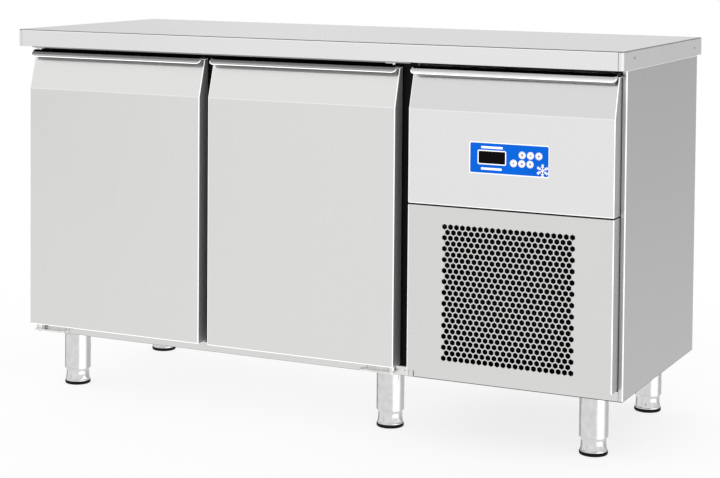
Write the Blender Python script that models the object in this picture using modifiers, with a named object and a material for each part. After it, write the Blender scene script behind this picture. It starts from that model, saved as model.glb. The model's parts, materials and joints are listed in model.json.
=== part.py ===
"""Refrigerated work counter with two doors and a machine bay, as an assembly of separate parts.

Metres, +Z up. The origin is on the floor at the middle of the footprint, and the doors face -Y.
"""

import math

import bmesh
import bpy
from mathutils import Matrix, Vector

# Driving dimensions
WIDTH = 1.490
DEPTH = 0.600
HEIGHT = 0.860
TOP_EDGE = 0.040  # height of the worktop's folded edge
TOP_CORNER = 0.010  # plan radius of the worktop's front corners
BODY_BOTTOM = 0.134
SHEET = 0.001
GAP = 0.0003  # air between pieces that touch on the real counter
FOLD = 0.0015  # outside radius of a folded sheet edge
PAST = 0.002  # how far a cutter runs past the face it opens

HALF = WIDTH / 2
FRONT = -DEPTH / 2
BACK = DEPTH / 2
TOP_UNDER = HEIGHT - TOP_EDGE
BODY_TOP = TOP_UNDER - 0.0005

# Body
SIDES_X = {"left": (-0.7210, -0.7115), "right": (0.7315, 0.741)}  # lowest and highest x of each side panel
LEFT_IN = SIDES_X["left"][1]
RIGHT_IN = SIDES_X["right"][0]
SIDE_FRONT = -0.2595
BODY_BACK = 0.279
BACK_FRONT = 0.271
RAIL_TOP = 0.156
FRAME_FRONT = -0.247
FRAME_BACK = -0.2458
PARTITION_X = 0.2705

# Doors and the two machine-bay fronts
FACE = FRONT + 0.0015
DOOR_BOTTOM = 0.158
CREASE_Z = 0.721
DOOR_TOP = 0.806
LEAN = 0.021 / 0.071  # setback of the leaning band for each metre of height
DOOR_BACK = -0.260
LEFT_DOOR_X = (-0.711, -0.246)
RIGHT_DOOR_X = (-0.2235, 0.2395)
MACHINE_X = (0.2715, 0.7295)
MACHINE_BACK = -0.250
SEAM = (0.5165, 0.5195)
OPENING_Z = (0.187, 0.777)
OPENING_LAP = 0.0335  # how far a door reaches past its opening at each side
PIVOT_IN = 0.014  # from a door's hinged edge to its pin
PIVOT_Y = -0.274
PIN_RADIUS = 0.004

# Cold cabinet
INSIDE_X = (-0.678, 0.2095)
INSIDE_BACK = 0.225
INSIDE_Z = (0.182, 0.780)
SHELF_Z = 0.4583
SHELF_Y = (-0.222, 0.218)
MULLION_X = -0.235
COVER_X = 0.115

# Air grille: pointed-top hexagons in offset rows
GRILLE_CENTRE = (0.4995, 0.3335)
HEX_PITCH = 0.02708
HEX_ACROSS = 0.022
HEX_COLUMNS = 11
HEX_ROWS = 13

# Controls
OVERLAY_X = (0.412, 0.590)
OVERLAY_Z = (0.593, 0.660)
DISPLAY_X = (0.433, 0.4925)
DISPLAY_Z = (0.615, 0.641)
BUTTON_RADIUS = 0.0065
BUTTON_PITCH = 0.0183
BUTTON_ROWS = ((0.511, 0.619), (0.530, 0.637))  # first button of each row: x, z
BUTTONS_IN_ROW = 3

# Legs
LEG_RADIUS = 0.031
LEG_BOTTOM = 0.0385
LEG_PLACES = {
    "front_left": (-0.648, -0.189),
    "front_middle": (0.185, -0.189),
    "front_right": (0.657, -0.189),
    "back_left": (-0.648, 0.207),
    "back_right": (0.657, 0.207),
}

# Air movers and lines
CONDENSER_FAN = (0.500, -0.105, 0.335)
EVAPORATOR_FAN = (0.1245, 0.0, 0.620)
LINE_Y = 0.100
LINE_Z = 0.700
CABLE_X = 0.360
CABLE_Z = 0.200

# Each matrix turns a shape drawn in XY, with its thickness along Z, to lie across that axis.
ACROSS = {
    "X": Matrix(((0, 0, 1), (1, 0, 0), (0, 1, 0))),  # drawn as (y, z)
    "Y": Matrix(((1, 0, 0), (0, 0, -1), (0, 1, 0))),  # drawn as (x, z)
    "Z": Matrix.Identity(3),  # drawn as (x, y)
}


# Scene, materials and placing


def clear_scene():
    for obj in list(bpy.data.objects):
        bpy.data.objects.remove(obj, do_unlink=True)


def new_collection(name):
    collection = bpy.data.collections.new(name)
    bpy.context.scene.collection.children.link(collection)
    return collection


def material(name, colour, roughness, metallic):
    made = bpy.data.materials.new(name)
    made.use_nodes = True
    shader = made.node_tree.nodes["Principled BSDF"]
    shader.inputs["Base Color"].default_value = (*colour, 1.0)
    shader.inputs["Roughness"].default_value = roughness
    shader.inputs["Metallic"].default_value = metallic
    return made


clear_scene()
COUNTER = new_collection("refrigerated_counter")
CUTTERS = new_collection("cutters")

STEEL = material("brushed_steel", (0.72, 0.72, 0.71), 0.32, 1.0)
ZINC = material("zinc_plate", (0.62, 0.63, 0.64), 0.45, 1.0)
ALUMINIUM = material("aluminium_fin", (0.75, 0.76, 0.77), 0.40, 1.0)
FOAM = material("polyurethane_foam", (0.78, 0.70, 0.45), 0.90, 0.0)
RUBBER = material("grey_gasket", (0.30, 0.30, 0.31), 0.70, 0.0)
BLACK = material("black_plastic", (0.03, 0.03, 0.03), 0.50, 0.0)
BLUE = material("blue_overlay", (0.03, 0.20, 0.62), 0.40, 0.0)
WHITE = material("white_key", (0.85, 0.86, 0.88), 0.45, 0.0)
COPPER = material("copper_line", (0.72, 0.42, 0.28), 0.35, 1.0)


def place(obj, finish):
    """Put a finished part in the counter's collection, in its material."""
    COUNTER.objects.link(obj)
    obj.data.materials.clear()
    obj.data.materials.append(finish)
    return obj


def set_aside(obj):
    """Keep a helper that only cuts or joins, out of the counter itself."""
    CUTTERS.objects.link(obj)
    obj.hide_render = True
    obj.display_type = "WIRE"
    return obj


def named(name, mesh_or_bmesh):
    mesh = mesh_or_bmesh
    if isinstance(mesh, bmesh.types.BMesh):
        mesh = bpy.data.meshes.new(name)
        mesh_or_bmesh.to_mesh(mesh)
        mesh_or_bmesh.free()
    return bpy.data.objects.new(name, mesh)


# Shapes


def box(name, low, high):
    low, high = Vector(low), Vector(high)
    mesh = bmesh.new()
    bmesh.ops.create_cube(mesh, size=1.0)
    bmesh.ops.scale(mesh, vec=high - low, verts=mesh.verts)
    made = named(name, mesh)
    made.location = (low + high) / 2
    return made


def cylinder(name, centre, axis, radius, length, segments=18):
    mesh = bmesh.new()
    bmesh.ops.create_cone(
        mesh, cap_ends=True, segments=segments, radius1=radius, radius2=radius, depth=length
    )
    made = named(name, mesh)
    made.data.shade_smooth()
    made.data.set_sharp_from_angle(angle=math.radians(40))
    made.matrix_world = Matrix.Translation(centre) @ ACROSS[axis].to_4x4()
    return made


def from_curve(name, curve):
    """The mesh of a curve object, with its caps welded to its sides."""
    drawn = bpy.data.objects.new(name + "_curve", curve)
    bpy.context.scene.collection.objects.link(drawn)
    bpy.context.view_layer.update()
    graph = bpy.context.evaluated_depsgraph_get()
    made = bpy.data.objects.new(name, bpy.data.meshes.new_from_object(drawn.evaluated_get(graph)))
    made.matrix_world = drawn.matrix_world
    bpy.data.objects.remove(drawn, do_unlink=True)
    welded = bmesh.new()
    welded.from_mesh(made.data)
    bmesh.ops.remove_doubles(welded, verts=welded.verts, dist=1e-6)
    bmesh.ops.recalc_face_normals(welded, faces=welded.faces)
    welded.to_mesh(made.data)
    welded.free()
    return made


def prism(name, axis, loops, low, high):
    """A flat outline, with any holes as further loops, carried along an axis from low to high."""
    curve = bpy.data.curves.new(name, "CURVE")
    curve.dimensions = "2D"
    curve.fill_mode = "BOTH"
    curve.extrude = (high - low) / 2
    for loop in loops:
        spline = curve.splines.new("POLY")
        spline.points.add(len(loop) - 1)
        for point, (across, up) in zip(spline.points, loop):
            point.co = (across, up, 0, 1)
        spline.use_cyclic_u = True
    made = from_curve(name, curve)
    middle = Vector((0, 0, 0))
    middle["XYZ".index(axis)] = (low + high) / 2
    made.matrix_world = Matrix.Translation(middle) @ ACROSS[axis].to_4x4()
    return made


def tube(name, points, radius):
    """A round wire or pipe through the points, with its caps filled."""
    curve = bpy.data.curves.new(name, "CURVE")
    curve.dimensions = "3D"
    curve.bevel_depth = radius
    curve.bevel_resolution = 2
    curve.use_fill_caps = True
    spline = curve.splines.new("POLY")
    spline.points.add(len(points) - 1)
    for point, place_of in zip(spline.points, points):
        point.co = (*place_of, 1)
    made = from_curve(name, curve)
    made.data.shade_smooth()
    return made


def turned(name, profile, centre, axis="Z", steps=18):
    """A turned shape. The profile is (radius, height) points, down its outer side from the top."""
    mesh = bmesh.new()
    rim = [mesh.verts.new((radius, 0, height)) for radius, height in profile]
    for above, below in zip(rim, rim[1:]):
        mesh.edges.new((above, below))
    if profile[0][0] > 0:
        mesh.edges.new((rim[-1], rim[0]))
    made = named(name, mesh)
    screw = made.modifiers.new("turn", "SCREW")
    screw.steps = screw.render_steps = steps
    screw.use_merge_vertices = True
    screw.merge_threshold = 1e-5
    screw.use_smooth_shade = True
    made.matrix_world = Matrix.Translation(centre) @ ACROSS[axis].to_4x4()
    return made


def pan(name, low, high, open_side, wall=SHEET, fold=FOLD):
    """A folded sheet box with one side open, such as "-Y"."""
    made = box(name, low, high)
    outward = Vector((0, 0, 0))
    outward["XYZ".index(open_side[1])] = 1 if open_side[0] == "+" else -1
    mesh = bmesh.new()
    mesh.from_mesh(made.data)
    mesh.normal_update()
    lid = [face for face in mesh.faces if face.normal.dot(outward) > 0.9]
    bmesh.ops.delete(mesh, geom=lid, context="FACES")
    mesh.to_mesh(made.data)
    mesh.free()
    if fold:
        bevel(made, fold, 2)
    thicken(made, wall)
    return made


def rectangle(x_span, z_span, inset=0.0):
    left, right = x_span[0] + inset, x_span[1] - inset
    bottom, top = z_span[0] + inset, z_span[1] - inset
    return [(left, bottom), (right, bottom), (right, top), (left, top)]


def arc(centre, radius, start_deg, end_deg, steps=4):
    turns = [math.radians(start_deg + (end_deg - start_deg) * n / steps) for n in range(steps + 1)]
    return [(centre[0] + radius * math.cos(a), centre[1] + radius * math.sin(a)) for a in turns]


def rounded_rectangle(x_span, z_span, radius, steps=4):
    points = []
    for quarter, corner in enumerate(rectangle(x_span, z_span, radius)):
        points += arc(corner, radius, 180 + 90 * quarter, 270 + 90 * quarter, steps)
    return points


def circle(centre, radius, segments=24, start=0.0):
    turns = [start + 2 * math.pi * step / segments for step in range(segments)]
    return [(centre[0] + radius * math.cos(a), centre[1] + radius * math.sin(a)) for a in turns]


def bent(points, radius, steps=4):
    """The same path with each inner corner rounded off."""
    corners = [Vector(point) for point in points]
    path = [corners[0]]
    for before, corner, after in zip(corners, corners[1:], corners[2:]):
        start = corner + (before - corner).normalized() * radius
        end = corner + (after - corner).normalized() * radius
        for step in range(steps + 1):
            t = step / steps
            path.append(start * (1 - t) ** 2 + corner * 2 * t * (1 - t) + end * t**2)
    return path + [corners[-1]]


# Modifiers


def bevel(obj, width, segments=2):
    modifier = obj.modifiers.new("bevel", "BEVEL")
    modifier.width = width
    modifier.segments = segments
    modifier.limit_method = "ANGLE"
    return obj


def thicken(obj, wall):
    modifier = obj.modifiers.new("sheet", "SOLIDIFY")
    modifier.thickness = wall
    modifier.offset = -1
    modifier.use_even_offset = True
    return obj


def boolean(obj, other, operation):
    modifier = obj.modifiers.new(other.name, "BOOLEAN")
    modifier.operation = operation
    modifier.solver = "EXACT"
    modifier.object = set_aside(other)
    return obj


def cut(obj, *others):
    for other in others:
        boolean(obj, other, "DIFFERENCE")
    return obj


def join(obj, *others):
    for other in others:
        boolean(obj, other, "UNION")
    return obj


# Worktop


def plan_corner(side, radius, start_deg, end_deg):
    """A quarter round about the centre of one of the worktop's front corners."""
    centre = (HALF - TOP_CORNER, FRONT + TOP_CORNER)
    return [(side * x, y) for x, y in arc(centre, radius, start_deg, end_deg, 6)]


def cap_outline(side, thickness, reach, spare=0.0):
    """Plan of the sheet that covers one end of the worktop and wraps its front corner.

    With spare, it is the seat cut for that sheet: spare larger inside, and open outside.
    """
    inner = plan_corner(side, TOP_CORNER - thickness - spare, -90, 0)
    wrap_x = side * (HALF - reach - spare)
    back = BACK + (PAST if spare else 0)
    inner = [(wrap_x, inner[0][1]), *inner, (side * (HALF - thickness - spare), back)]
    if spare:
        clear = side * (HALF + PAST)
        return [*inner, (clear, back), (clear, FRONT - PAST), (wrap_x, FRONT - PAST)]
    return [*inner, (side * HALF, BACK), *plan_corner(side, TOP_CORNER, 0, -90), (wrap_x, FRONT)]


def worktop():
    edge_wall = 0.0045
    top_sheet = 0.0015
    lip = 0.020
    cap_sheet, cap_reach, cap_drop = 0.001, 0.0115, 0.0015
    corners = plan_corner(-1, TOP_CORNER, 0, -90) + plan_corner(1, TOP_CORNER, -90, 0)
    plan = [(-HALF, BACK), *corners, (HALF, BACK)]
    top = bevel(prism("worktop", "Z", [plan], TOP_UNDER, HEIGHT), 0.002)
    inner_low = Vector((-HALF + edge_wall, FRONT + edge_wall, TOP_UNDER + top_sheet))
    inner_high = Vector((HALF - edge_wall, BACK - edge_wall, HEIGHT - top_sheet))
    mouth_low = inner_low + Vector((lip, lip, -0.005))
    mouth_high = Vector((inner_high.x - lip, inner_high.y - lip, TOP_UNDER + 0.005))
    hollow = box("worktop_hollow", inner_low, inner_high)
    cut(top, hollow, box("worktop_mouth", mouth_low, mouth_high))
    seats = [cap_outline(side, cap_sheet, cap_reach, GAP) for side in (-1, 1)]
    cut(top, prism("cap_seats", "Z", seats, TOP_UNDER - PAST, HEIGHT - cap_drop + GAP))
    for side, word in ((-1, "left"), (1, "right")):
        outline = cap_outline(side, cap_sheet, cap_reach)
        place(prism(f"end_cap_{word}", "Z", [outline], TOP_UNDER, HEIGHT - cap_drop), STEEL)
    place(top, STEEL)


# Body


def outer_panels():
    for word, open_side in (("left", "+X"), ("right", "-X")):
        x_low, x_high = SIDES_X[word]
        low, high = (x_low, SIDE_FRONT, BODY_BOTTOM), (x_high, BODY_BACK, BODY_TOP)
        place(pan(f"side_panel_{word}", low, high, open_side), STEEL)
    left_edge, right_edge = LEFT_IN + 0.0005, RIGHT_IN - 0.0005
    back_low, back_high = (left_edge, BACK_FRONT, BODY_BOTTOM), (right_edge, BODY_BACK, BODY_TOP)
    back = pan("back_panel", back_low, back_high, "-Y")
    slots = [rectangle((0.340, 0.660), (z / 1000, z / 1000 + 0.008)) for z in range(500, 740, 24)]
    cut(back, prism("outlet_slots", "Y", slots, BODY_BACK - 0.004, BODY_BACK + 0.004))
    cable_hole = (CABLE_X, BODY_BACK, CABLE_Z)
    cut(back, cylinder("cable_hole", cable_hole, "Y", 0.006, 0.008))
    place(back, ZINC)
    base_low = (left_edge, FRAME_BACK + GAP, BODY_BOTTOM)
    base_high = (PARTITION_X, BACK_FRONT - 0.0005, BODY_BOTTOM + 0.0012)
    place(box("base_panel", base_low, base_high), ZINC)
    partition_low = (PARTITION_X, FRAME_BACK + GAP, RAIL_TOP + 0.001)
    partition_high = (PARTITION_X + SHEET, BACK_FRONT - 0.0005, BODY_TOP)
    partition = box("partition_panel", partition_low, partition_high)
    line_crossing = (PARTITION_X, LINE_Y, LINE_Z)
    cut(partition, cylinder("line_hole_partition", line_crossing, "X", 0.0065, 0.010))
    place(partition, ZINC)
    tray_low = (PARTITION_X + 0.0005, SIDE_FRONT, BODY_BOTTOM)
    tray_high = (right_edge, BACK_FRONT - 0.0005, RAIL_TOP)
    place(pan("machine_base_tray", tray_low, tray_high, "+Z"), STEEL)


def cold_cabinet():
    left = LEFT_IN + 0.0008
    right = PARTITION_X - GAP
    shell_low = (left, FRAME_BACK + GAP, BODY_BOTTOM + 0.0015)
    shell_high = (right, BACK_FRONT - 0.0005, BODY_TOP)
    liner_low = Vector((INSIDE_X[0], FRAME_BACK + GAP, INSIDE_Z[0])) - Vector((SHEET, 0, SHEET))
    liner_high = Vector((INSIDE_X[1], INSIDE_BACK, INSIDE_Z[1])) + Vector((SHEET, SHEET, SHEET))
    spare = Vector((GAP, GAP, GAP))
    shell = box("insulation_shell", shell_low, shell_high)
    hollow_low = liner_low - spare - Vector((0, 0.010, 0))
    cut(shell, box("insulation_hollow", hollow_low, liner_high + spare))
    liner = pan("inner_liner", liner_low, liner_high, "-Y", fold=0.0)
    for part, word in ((shell, "shell"), (liner, "liner")):
        start = ((INSIDE_X[1] + right) / 2, LINE_Y, LINE_Z)
        cut(part, cylinder(f"line_hole_{word}", start, "X", 0.0065, 0.080))
    place(shell, FOAM)
    place(liner, STEEL)


def door_opening(x_span):
    return (x_span[0] + OPENING_LAP, x_span[1] - OPENING_LAP)


def front_frame():
    left, right = LEFT_IN + 0.0005, PARTITION_X - GAP
    outline = rectangle((left, right), (BODY_BOTTOM + 0.0005, BODY_TOP))
    openings = [rectangle(door_opening(x), OPENING_Z) for x in (LEFT_DOOR_X, RIGHT_DOOR_X)]
    frame = prism("front_frame", "Y", [outline, *openings], FRAME_FRONT, FRAME_BACK)
    rail_back = SIDE_FRONT + 0.0012
    rail = box("rail_face", (left, SIDE_FRONT, BODY_BOTTOM), (right, rail_back, RAIL_TOP))
    ledge_low = (left, SIDE_FRONT + 0.0006, RAIL_TOP - 0.0018)
    ledge_high = (right, FRAME_FRONT + 0.0006, RAIL_TOP - 0.0006)
    join(frame, box("rail_ledge", ledge_low, ledge_high), rail)
    place(frame, STEEL)


# Doors and fascia


def leaning_outline(bottom, back, inset=0.0):
    """Section of a front: flat, then leaning back from the crease up to the top."""
    face = FACE + inset
    top = DOOR_TOP - inset
    top_face = face + LEAN * (top - CREASE_Z)
    return [(back, bottom + inset), (face, bottom + inset), (face, CREASE_Z), (top_face, top), (back, top)]


def lip_outline():
    """Section of the lip: a sheet that rises behind the lean, rolls over and hangs forward."""
    outer_start, outer_end = Vector((0.0185, 0.8120)), Vector((0.0022, 0.7968))
    bulge = 0.0016
    normal = Vector((outer_end.y - outer_start.y, outer_start.x - outer_end.x)).normalized()
    band = []
    for step in range(7):
        t = step / 6
        crown = bulge * 4 * t * (1 - t)
        band.append(outer_start.lerp(outer_end, t) + normal * crown)
    inner = [point - normal * 0.0012 for point in reversed(band)]
    root = [(0.0262, 0.8108), (0.0275, 0.8095), (0.0275, 0.8052)]
    back = [(0.0290, 0.8052), (0.0290, 0.8100), (0.0270, 0.8120)]
    loop = [tuple(point) for point in band + inner] + root + back
    return [(FRONT + depth, z) for depth, z in loop]


def leaning_shell(name, x_span, bottom, back):
    """The folded outer skin of a door or of the fascia, open at the back, with its lip."""
    shell = prism(name, "X", [leaning_outline(bottom, back)], *x_span)
    mesh = bmesh.new()
    mesh.from_mesh(shell.data)
    mesh.normal_update()
    rear = [face for face in mesh.faces if face.normal.x > 0.9]
    bmesh.ops.delete(mesh, geom=rear, context="FACES")
    bmesh.ops.dissolve_limit(mesh, angle_limit=0.01, verts=mesh.verts, edges=mesh.edges)
    mesh.to_mesh(shell.data)
    mesh.free()
    bevel(shell, FOLD, 2)
    thicken(shell, SHEET)
    inset = 0.005
    join(shell, prism(f"{name}_lip", "X", [lip_outline()], x_span[0] + inset, x_span[1] - inset))
    return shell


def pressed_liner(name, x_span, z_span, rim_y, rise, margin):
    """A pressed sheet with a flat rim and a raised hollow panel towards +Y."""
    front = rim_y - SHEET
    plate = box(name, (x_span[0], front, z_span[0]), (x_span[1], rim_y, z_span[1]))
    corners = [Vector((x, 0, z)) for x, z in rectangle(x_span, z_span, margin)[::2]]
    inner = Vector((SHEET, 0, SHEET))
    panel_low = corners[0] + Vector((0, rim_y - SHEET / 2, 0))
    panel_high = corners[1] + Vector((0, rim_y + rise, 0))
    hollow_low = corners[0] + inner + Vector((0, front - SHEET, 0))
    hollow_high = corners[1] - inner + Vector((0, rim_y + rise - SHEET, 0))
    join(plate, box(f"{name}_panel", panel_low, panel_high))
    return cut(plate, box(f"{name}_hollow", hollow_low, hollow_high))


def pin_hole(name, pivot_x, z_span, radius):
    centre = (pivot_x, PIVOT_Y, sum(z_span) / 2)
    return cylinder(name, centre, "Z", radius, z_span[1] - z_span[0], 20)


def door(word, x_span, hinge_side):
    """One door: shell, foam core, pressed liner and gasket, all turning about the hinge pins."""
    pivot_x = x_span[0] + PIVOT_IN if hinge_side < 0 else x_span[1] - PIVOT_IN
    shell = leaning_shell(f"{word}_door_shell", x_span, DOOR_BOTTOM, DOOR_BACK)
    core_inset = SHEET + GAP
    core_x = (x_span[0] + core_inset, x_span[1] - core_inset)
    core_outline = leaning_outline(DOOR_BOTTOM, DOOR_BACK, core_inset)
    core = prism(f"{word}_door_foam", "X", [core_outline], *core_x)
    low_span, high_span = (DOOR_BOTTOM - 0.010, 0.176), (0.792, 0.820)
    for part, radius in ((shell, PIN_RADIUS + GAP), (core, PIN_RADIUS + 2 * GAP)):
        for end, span in (("low", low_span), ("high", high_span)):
            cut(part, pin_hole(f"{part.name}_{end}_hole", pivot_x, span, radius))
    trim = 0.0005
    liner_x = (x_span[0] + trim, x_span[1] - trim)
    liner_z = (DOOR_BOTTOM + trim, DOOR_TOP - trim)
    liner_y = DOOR_BACK + GAP + SHEET
    liner = pressed_liner(f"{word}_door_liner", liner_x, liner_z, liner_y, 0.0085, 0.029)
    seal_outer_x = (x_span[0] + 0.011, x_span[1] - 0.011)
    seal_outer_z = (0.170, 0.796)
    seal_loops = [
        rounded_rectangle(seal_outer_x, seal_outer_z, 0.004, 2),
        rectangle(seal_outer_x, seal_outer_z, 0.014),
    ]
    seal = prism(f"{word}_door_gasket", "Y", seal_loops, liner_y + GAP, FRAME_FRONT - 0.001)
    pivot = bpy.data.objects.new(f"{word}_door_pivot", None)
    pivot.location = (pivot_x, PIVOT_Y, (DOOR_BOTTOM + DOOR_TOP) / 2)
    COUNTER.objects.link(pivot)
    bpy.context.view_layer.update()
    for part, finish in ((shell, STEEL), (core, FOAM), (liner, STEEL), (seal, RUBBER)):
        place(part, finish)
        part.parent = pivot
        part.matrix_parent_inverse = pivot.matrix_world.inverted()
    hinge_brackets(word, pivot_x, hinge_side)


def hinge_brackets(word, pivot_x, side):
    """The angle brackets above and below a door, each with its pin. They end short of the body's side."""
    top_reach, low_reach = {"left": (0.012, 0.010), "right": (0.0285, 0.034)}[word]

    def angle(name, x_span, plate_y, plate_z, flange_y, flange_z):
        plate = box(name, (x_span[0], plate_y[0], plate_z[0]), (x_span[1], plate_y[1], plate_z[1]))
        flange_low = (x_span[0], flange_y[0], flange_z[0])
        return join(plate, box(f"{name}_flange", flange_low, (x_span[1], flange_y[1], flange_z[1])))

    top_x = sorted((pivot_x + side * top_reach, pivot_x - side * 0.017))
    top_flange_y = (FRAME_FRONT - GAP - 0.0024, FRAME_FRONT - GAP)
    upper = angle(
        f"{word}_hinge_top", top_x, (-0.287, top_flange_y[1]), (0.8155, 0.8185),
        top_flange_y, (0.800, 0.8185),
    )
    join(upper, pin_hole(f"{word}_top_pin", pivot_x, (0.795, 0.8165), PIN_RADIUS))
    place(upper, ZINC)
    low_x = sorted((pivot_x + side * low_reach, pivot_x - side * 0.072))
    low_flange_y = (SIDE_FRONT - GAP - 0.002, SIDE_FRONT - GAP)
    lower = angle(
        f"{word}_hinge_bottom", low_x, (-0.287, low_flange_y[1]), (0.141, 0.145),
        low_flange_y, (0.1355, 0.1545),
    )
    join(lower, pin_hole(f"{word}_low_bush", pivot_x, (0.144, 0.1572), 0.0065))
    join(lower, pin_hole(f"{word}_low_pin", pivot_x, (0.1445, 0.172), PIN_RADIUS))
    place(lower, ZINC)


def button_centres():
    for first_x, z in BUTTON_ROWS:
        for column in range(BUTTONS_IN_ROW):
            yield first_x + column * BUTTON_PITCH, z


def controls():
    holes = [rectangle(DISPLAY_X, DISPLAY_Z)]
    holes += [circle(centre, BUTTON_RADIUS + 0.0004, 16) for centre in button_centres()]
    fascia = leaning_shell("control_fascia", MACHINE_X, SEAM[1], MACHINE_BACK)
    cut(fascia, prism("control_holes", "Y", holes, FACE - 0.001, FACE + 0.003))
    place(fascia, STEEL)
    overlay_y = (FACE - GAP - 0.0004, FACE - GAP)
    outline = rounded_rectangle(OVERLAY_X, OVERLAY_Z, 0.005)
    place(prism("keypad_overlay", "Y", [outline, *holes], *overlay_y), BLUE)
    module_front = FACE + 0.005
    body_low = (OVERLAY_X[0] + 0.003, module_front, OVERLAY_Z[0] + 0.004)
    body_high = (OVERLAY_X[1] - 0.003, -0.262, OVERLAY_Z[1] - 0.004)
    module = bevel(box("controller_module", body_low, body_high), 0.0015, 1)
    window_low = (DISPLAY_X[0] + 0.0006, overlay_y[0] + 0.0001, DISPLAY_Z[0] + 0.0006)
    window_high = (DISPLAY_X[1] - 0.0006, module_front + 0.002, DISPLAY_Z[1] - 0.0006)
    join(module, box("display_block", window_low, window_high))
    place(module, BLACK)
    button_y = (FRONT + 0.0001, FACE + 0.0035)
    for number, (x, z) in enumerate(button_centres(), start=1):
        centre = (x, sum(button_y) / 2, z)
        key = cylinder(f"button_{number}", centre, "Y", BUTTON_RADIUS, button_y[1] - button_y[0])
        place(bevel(key, 0.0005, 1), WHITE)


def grille_panel():
    low = (MACHINE_X[0], FACE, DOOR_BOTTOM)
    high = (MACHINE_X[1], MACHINE_BACK, SEAM[0])
    panel = pan("grille_panel", low, high, "+Y")
    row_step = HEX_PITCH * math.sqrt(3) / 2
    holes = []
    for row in range(HEX_ROWS):
        count = HEX_COLUMNS - row % 2
        z = GRILLE_CENTRE[1] + (row - (HEX_ROWS - 1) / 2) * row_step
        for column in range(count):
            x = GRILLE_CENTRE[0] + (column - (count - 1) / 2) * HEX_PITCH
            holes.append(circle((x, z), HEX_ACROSS / math.sqrt(3), 6, math.pi / 2))
    cut(panel, prism("hexagons", "Y", holes, FACE - 0.002, FACE + 0.003))
    place(panel, STEEL)


# Cold side inside


def shelf(name, x_span):
    """A grid shelf: a flat frame with bars from front to back and one cross bar."""
    frame_bar, bar, pitch = 0.006, 0.003, 0.0245
    inside_x = (x_span[0] + frame_bar, x_span[1] - frame_bar)
    count = round((inside_x[1] - inside_x[0]) / pitch)
    step = (inside_x[1] - inside_x[0] + bar) / count
    middle_y = sum(SHELF_Y) / 2
    halves = ((SHELF_Y[0] + frame_bar, middle_y - bar / 2), (middle_y + bar / 2, SHELF_Y[1] - frame_bar))
    slots = []
    for number in range(count):
        left = inside_x[0] + number * step
        slots += [rectangle((left, left + step - bar), half) for half in halves]
    made = prism(name, "Z", [rectangle(x_span, SHELF_Y), *slots], SHELF_Z, SHELF_Z + 0.004)
    place(made, ZINC)


def shelves_and_rails():
    web = 0.001
    rail_top = SHELF_Z - GAP
    rail_y = (FRAME_BACK + 2 * GAP, INSIDE_BACK - GAP)
    wall = INSIDE_X[0] + GAP
    left = [
        (wall, rail_top), (wall, rail_top - 0.018), (wall + web, rail_top - 0.018),
        (wall + web, rail_top - 0.002), (wall + 0.018, rail_top - 0.002), (wall + 0.018, rail_top),
    ]
    place(prism("shelf_rail_left", "Y", [left], *rail_y), STEEL)
    centre = box(
        "shelf_rail_centre",
        (MULLION_X - 0.020, rail_y[0], rail_top - 0.002), (MULLION_X + 0.020, rail_y[1], rail_top),
    )
    web_low = (MULLION_X - web, rail_y[0], rail_top - 0.018)
    web_high = (MULLION_X + web, rail_y[1], rail_top + 0.008)
    place(join(centre, box("centre_web", web_low, web_high)), STEEL)
    shelf("shelf_left", (wall + 0.001, MULLION_X - 0.002))
    shelf("shelf_right", (MULLION_X + 0.002, COVER_X - 0.001))


def fin_pack(name, low, high, axis, count):
    """A finned coil block, grooved across the face that air enters (its low side along axis)."""
    block = box(name, low, high)
    across = 0 if axis == "Y" else 1
    along = "XYZ".index(axis)
    span = high[across] - low[across]
    pitch = span / count
    grooves = bmesh.new()
    for number in range(count - 1):
        size = Vector((0, 0, high[2] - low[2] - 0.020))
        size[across], size[along] = pitch * 0.6, 0.012
        centre = Vector((0, 0, (low[2] + high[2]) / 2))
        centre[across] = low[across] + (number + 1) * pitch
        centre[along] = low[along]
        scaling = Matrix.Diagonal((*size, 1))
        bmesh.ops.create_cube(grooves, size=1, matrix=Matrix.Translation(centre) @ scaling)
    place(cut(block, named(f"{name}_grooves", grooves)), ALUMINIUM)


def fan(name, centre, axis, reach, chord, hub_radius, hub_length, blades, pitch):
    """A bladed wheel with a blind hole for its motor's shaft on the side away from the air."""
    hub = cylinder(name, centre, axis, hub_radius, hub_length)
    root = hub_radius - 0.002
    mesh = bmesh.new()
    for number in range(blades):
        turn = Matrix.Rotation(2 * math.pi * number / blades, 4, "Z")
        out = Matrix.Translation(((root + reach) / 2, 0, 0))
        tilt = Matrix.Rotation(pitch, 4, "X")
        size = Matrix.Diagonal((reach - root, chord, 0.0015, 1))
        bmesh.ops.create_cube(mesh, size=1, matrix=turn @ out @ tilt @ size)
    wheel = named(f"{name}_blades", mesh)
    wheel.matrix_world = hub.matrix_world
    join(hub, wheel)
    bore_centre = Vector(centre)
    bore_centre["XYZ".index(axis)] += hub_length / 2
    cut(hub, cylinder(f"{name}_bore", bore_centre, axis, 0.0033, hub_length, 16))
    place(hub, BLACK)


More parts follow.
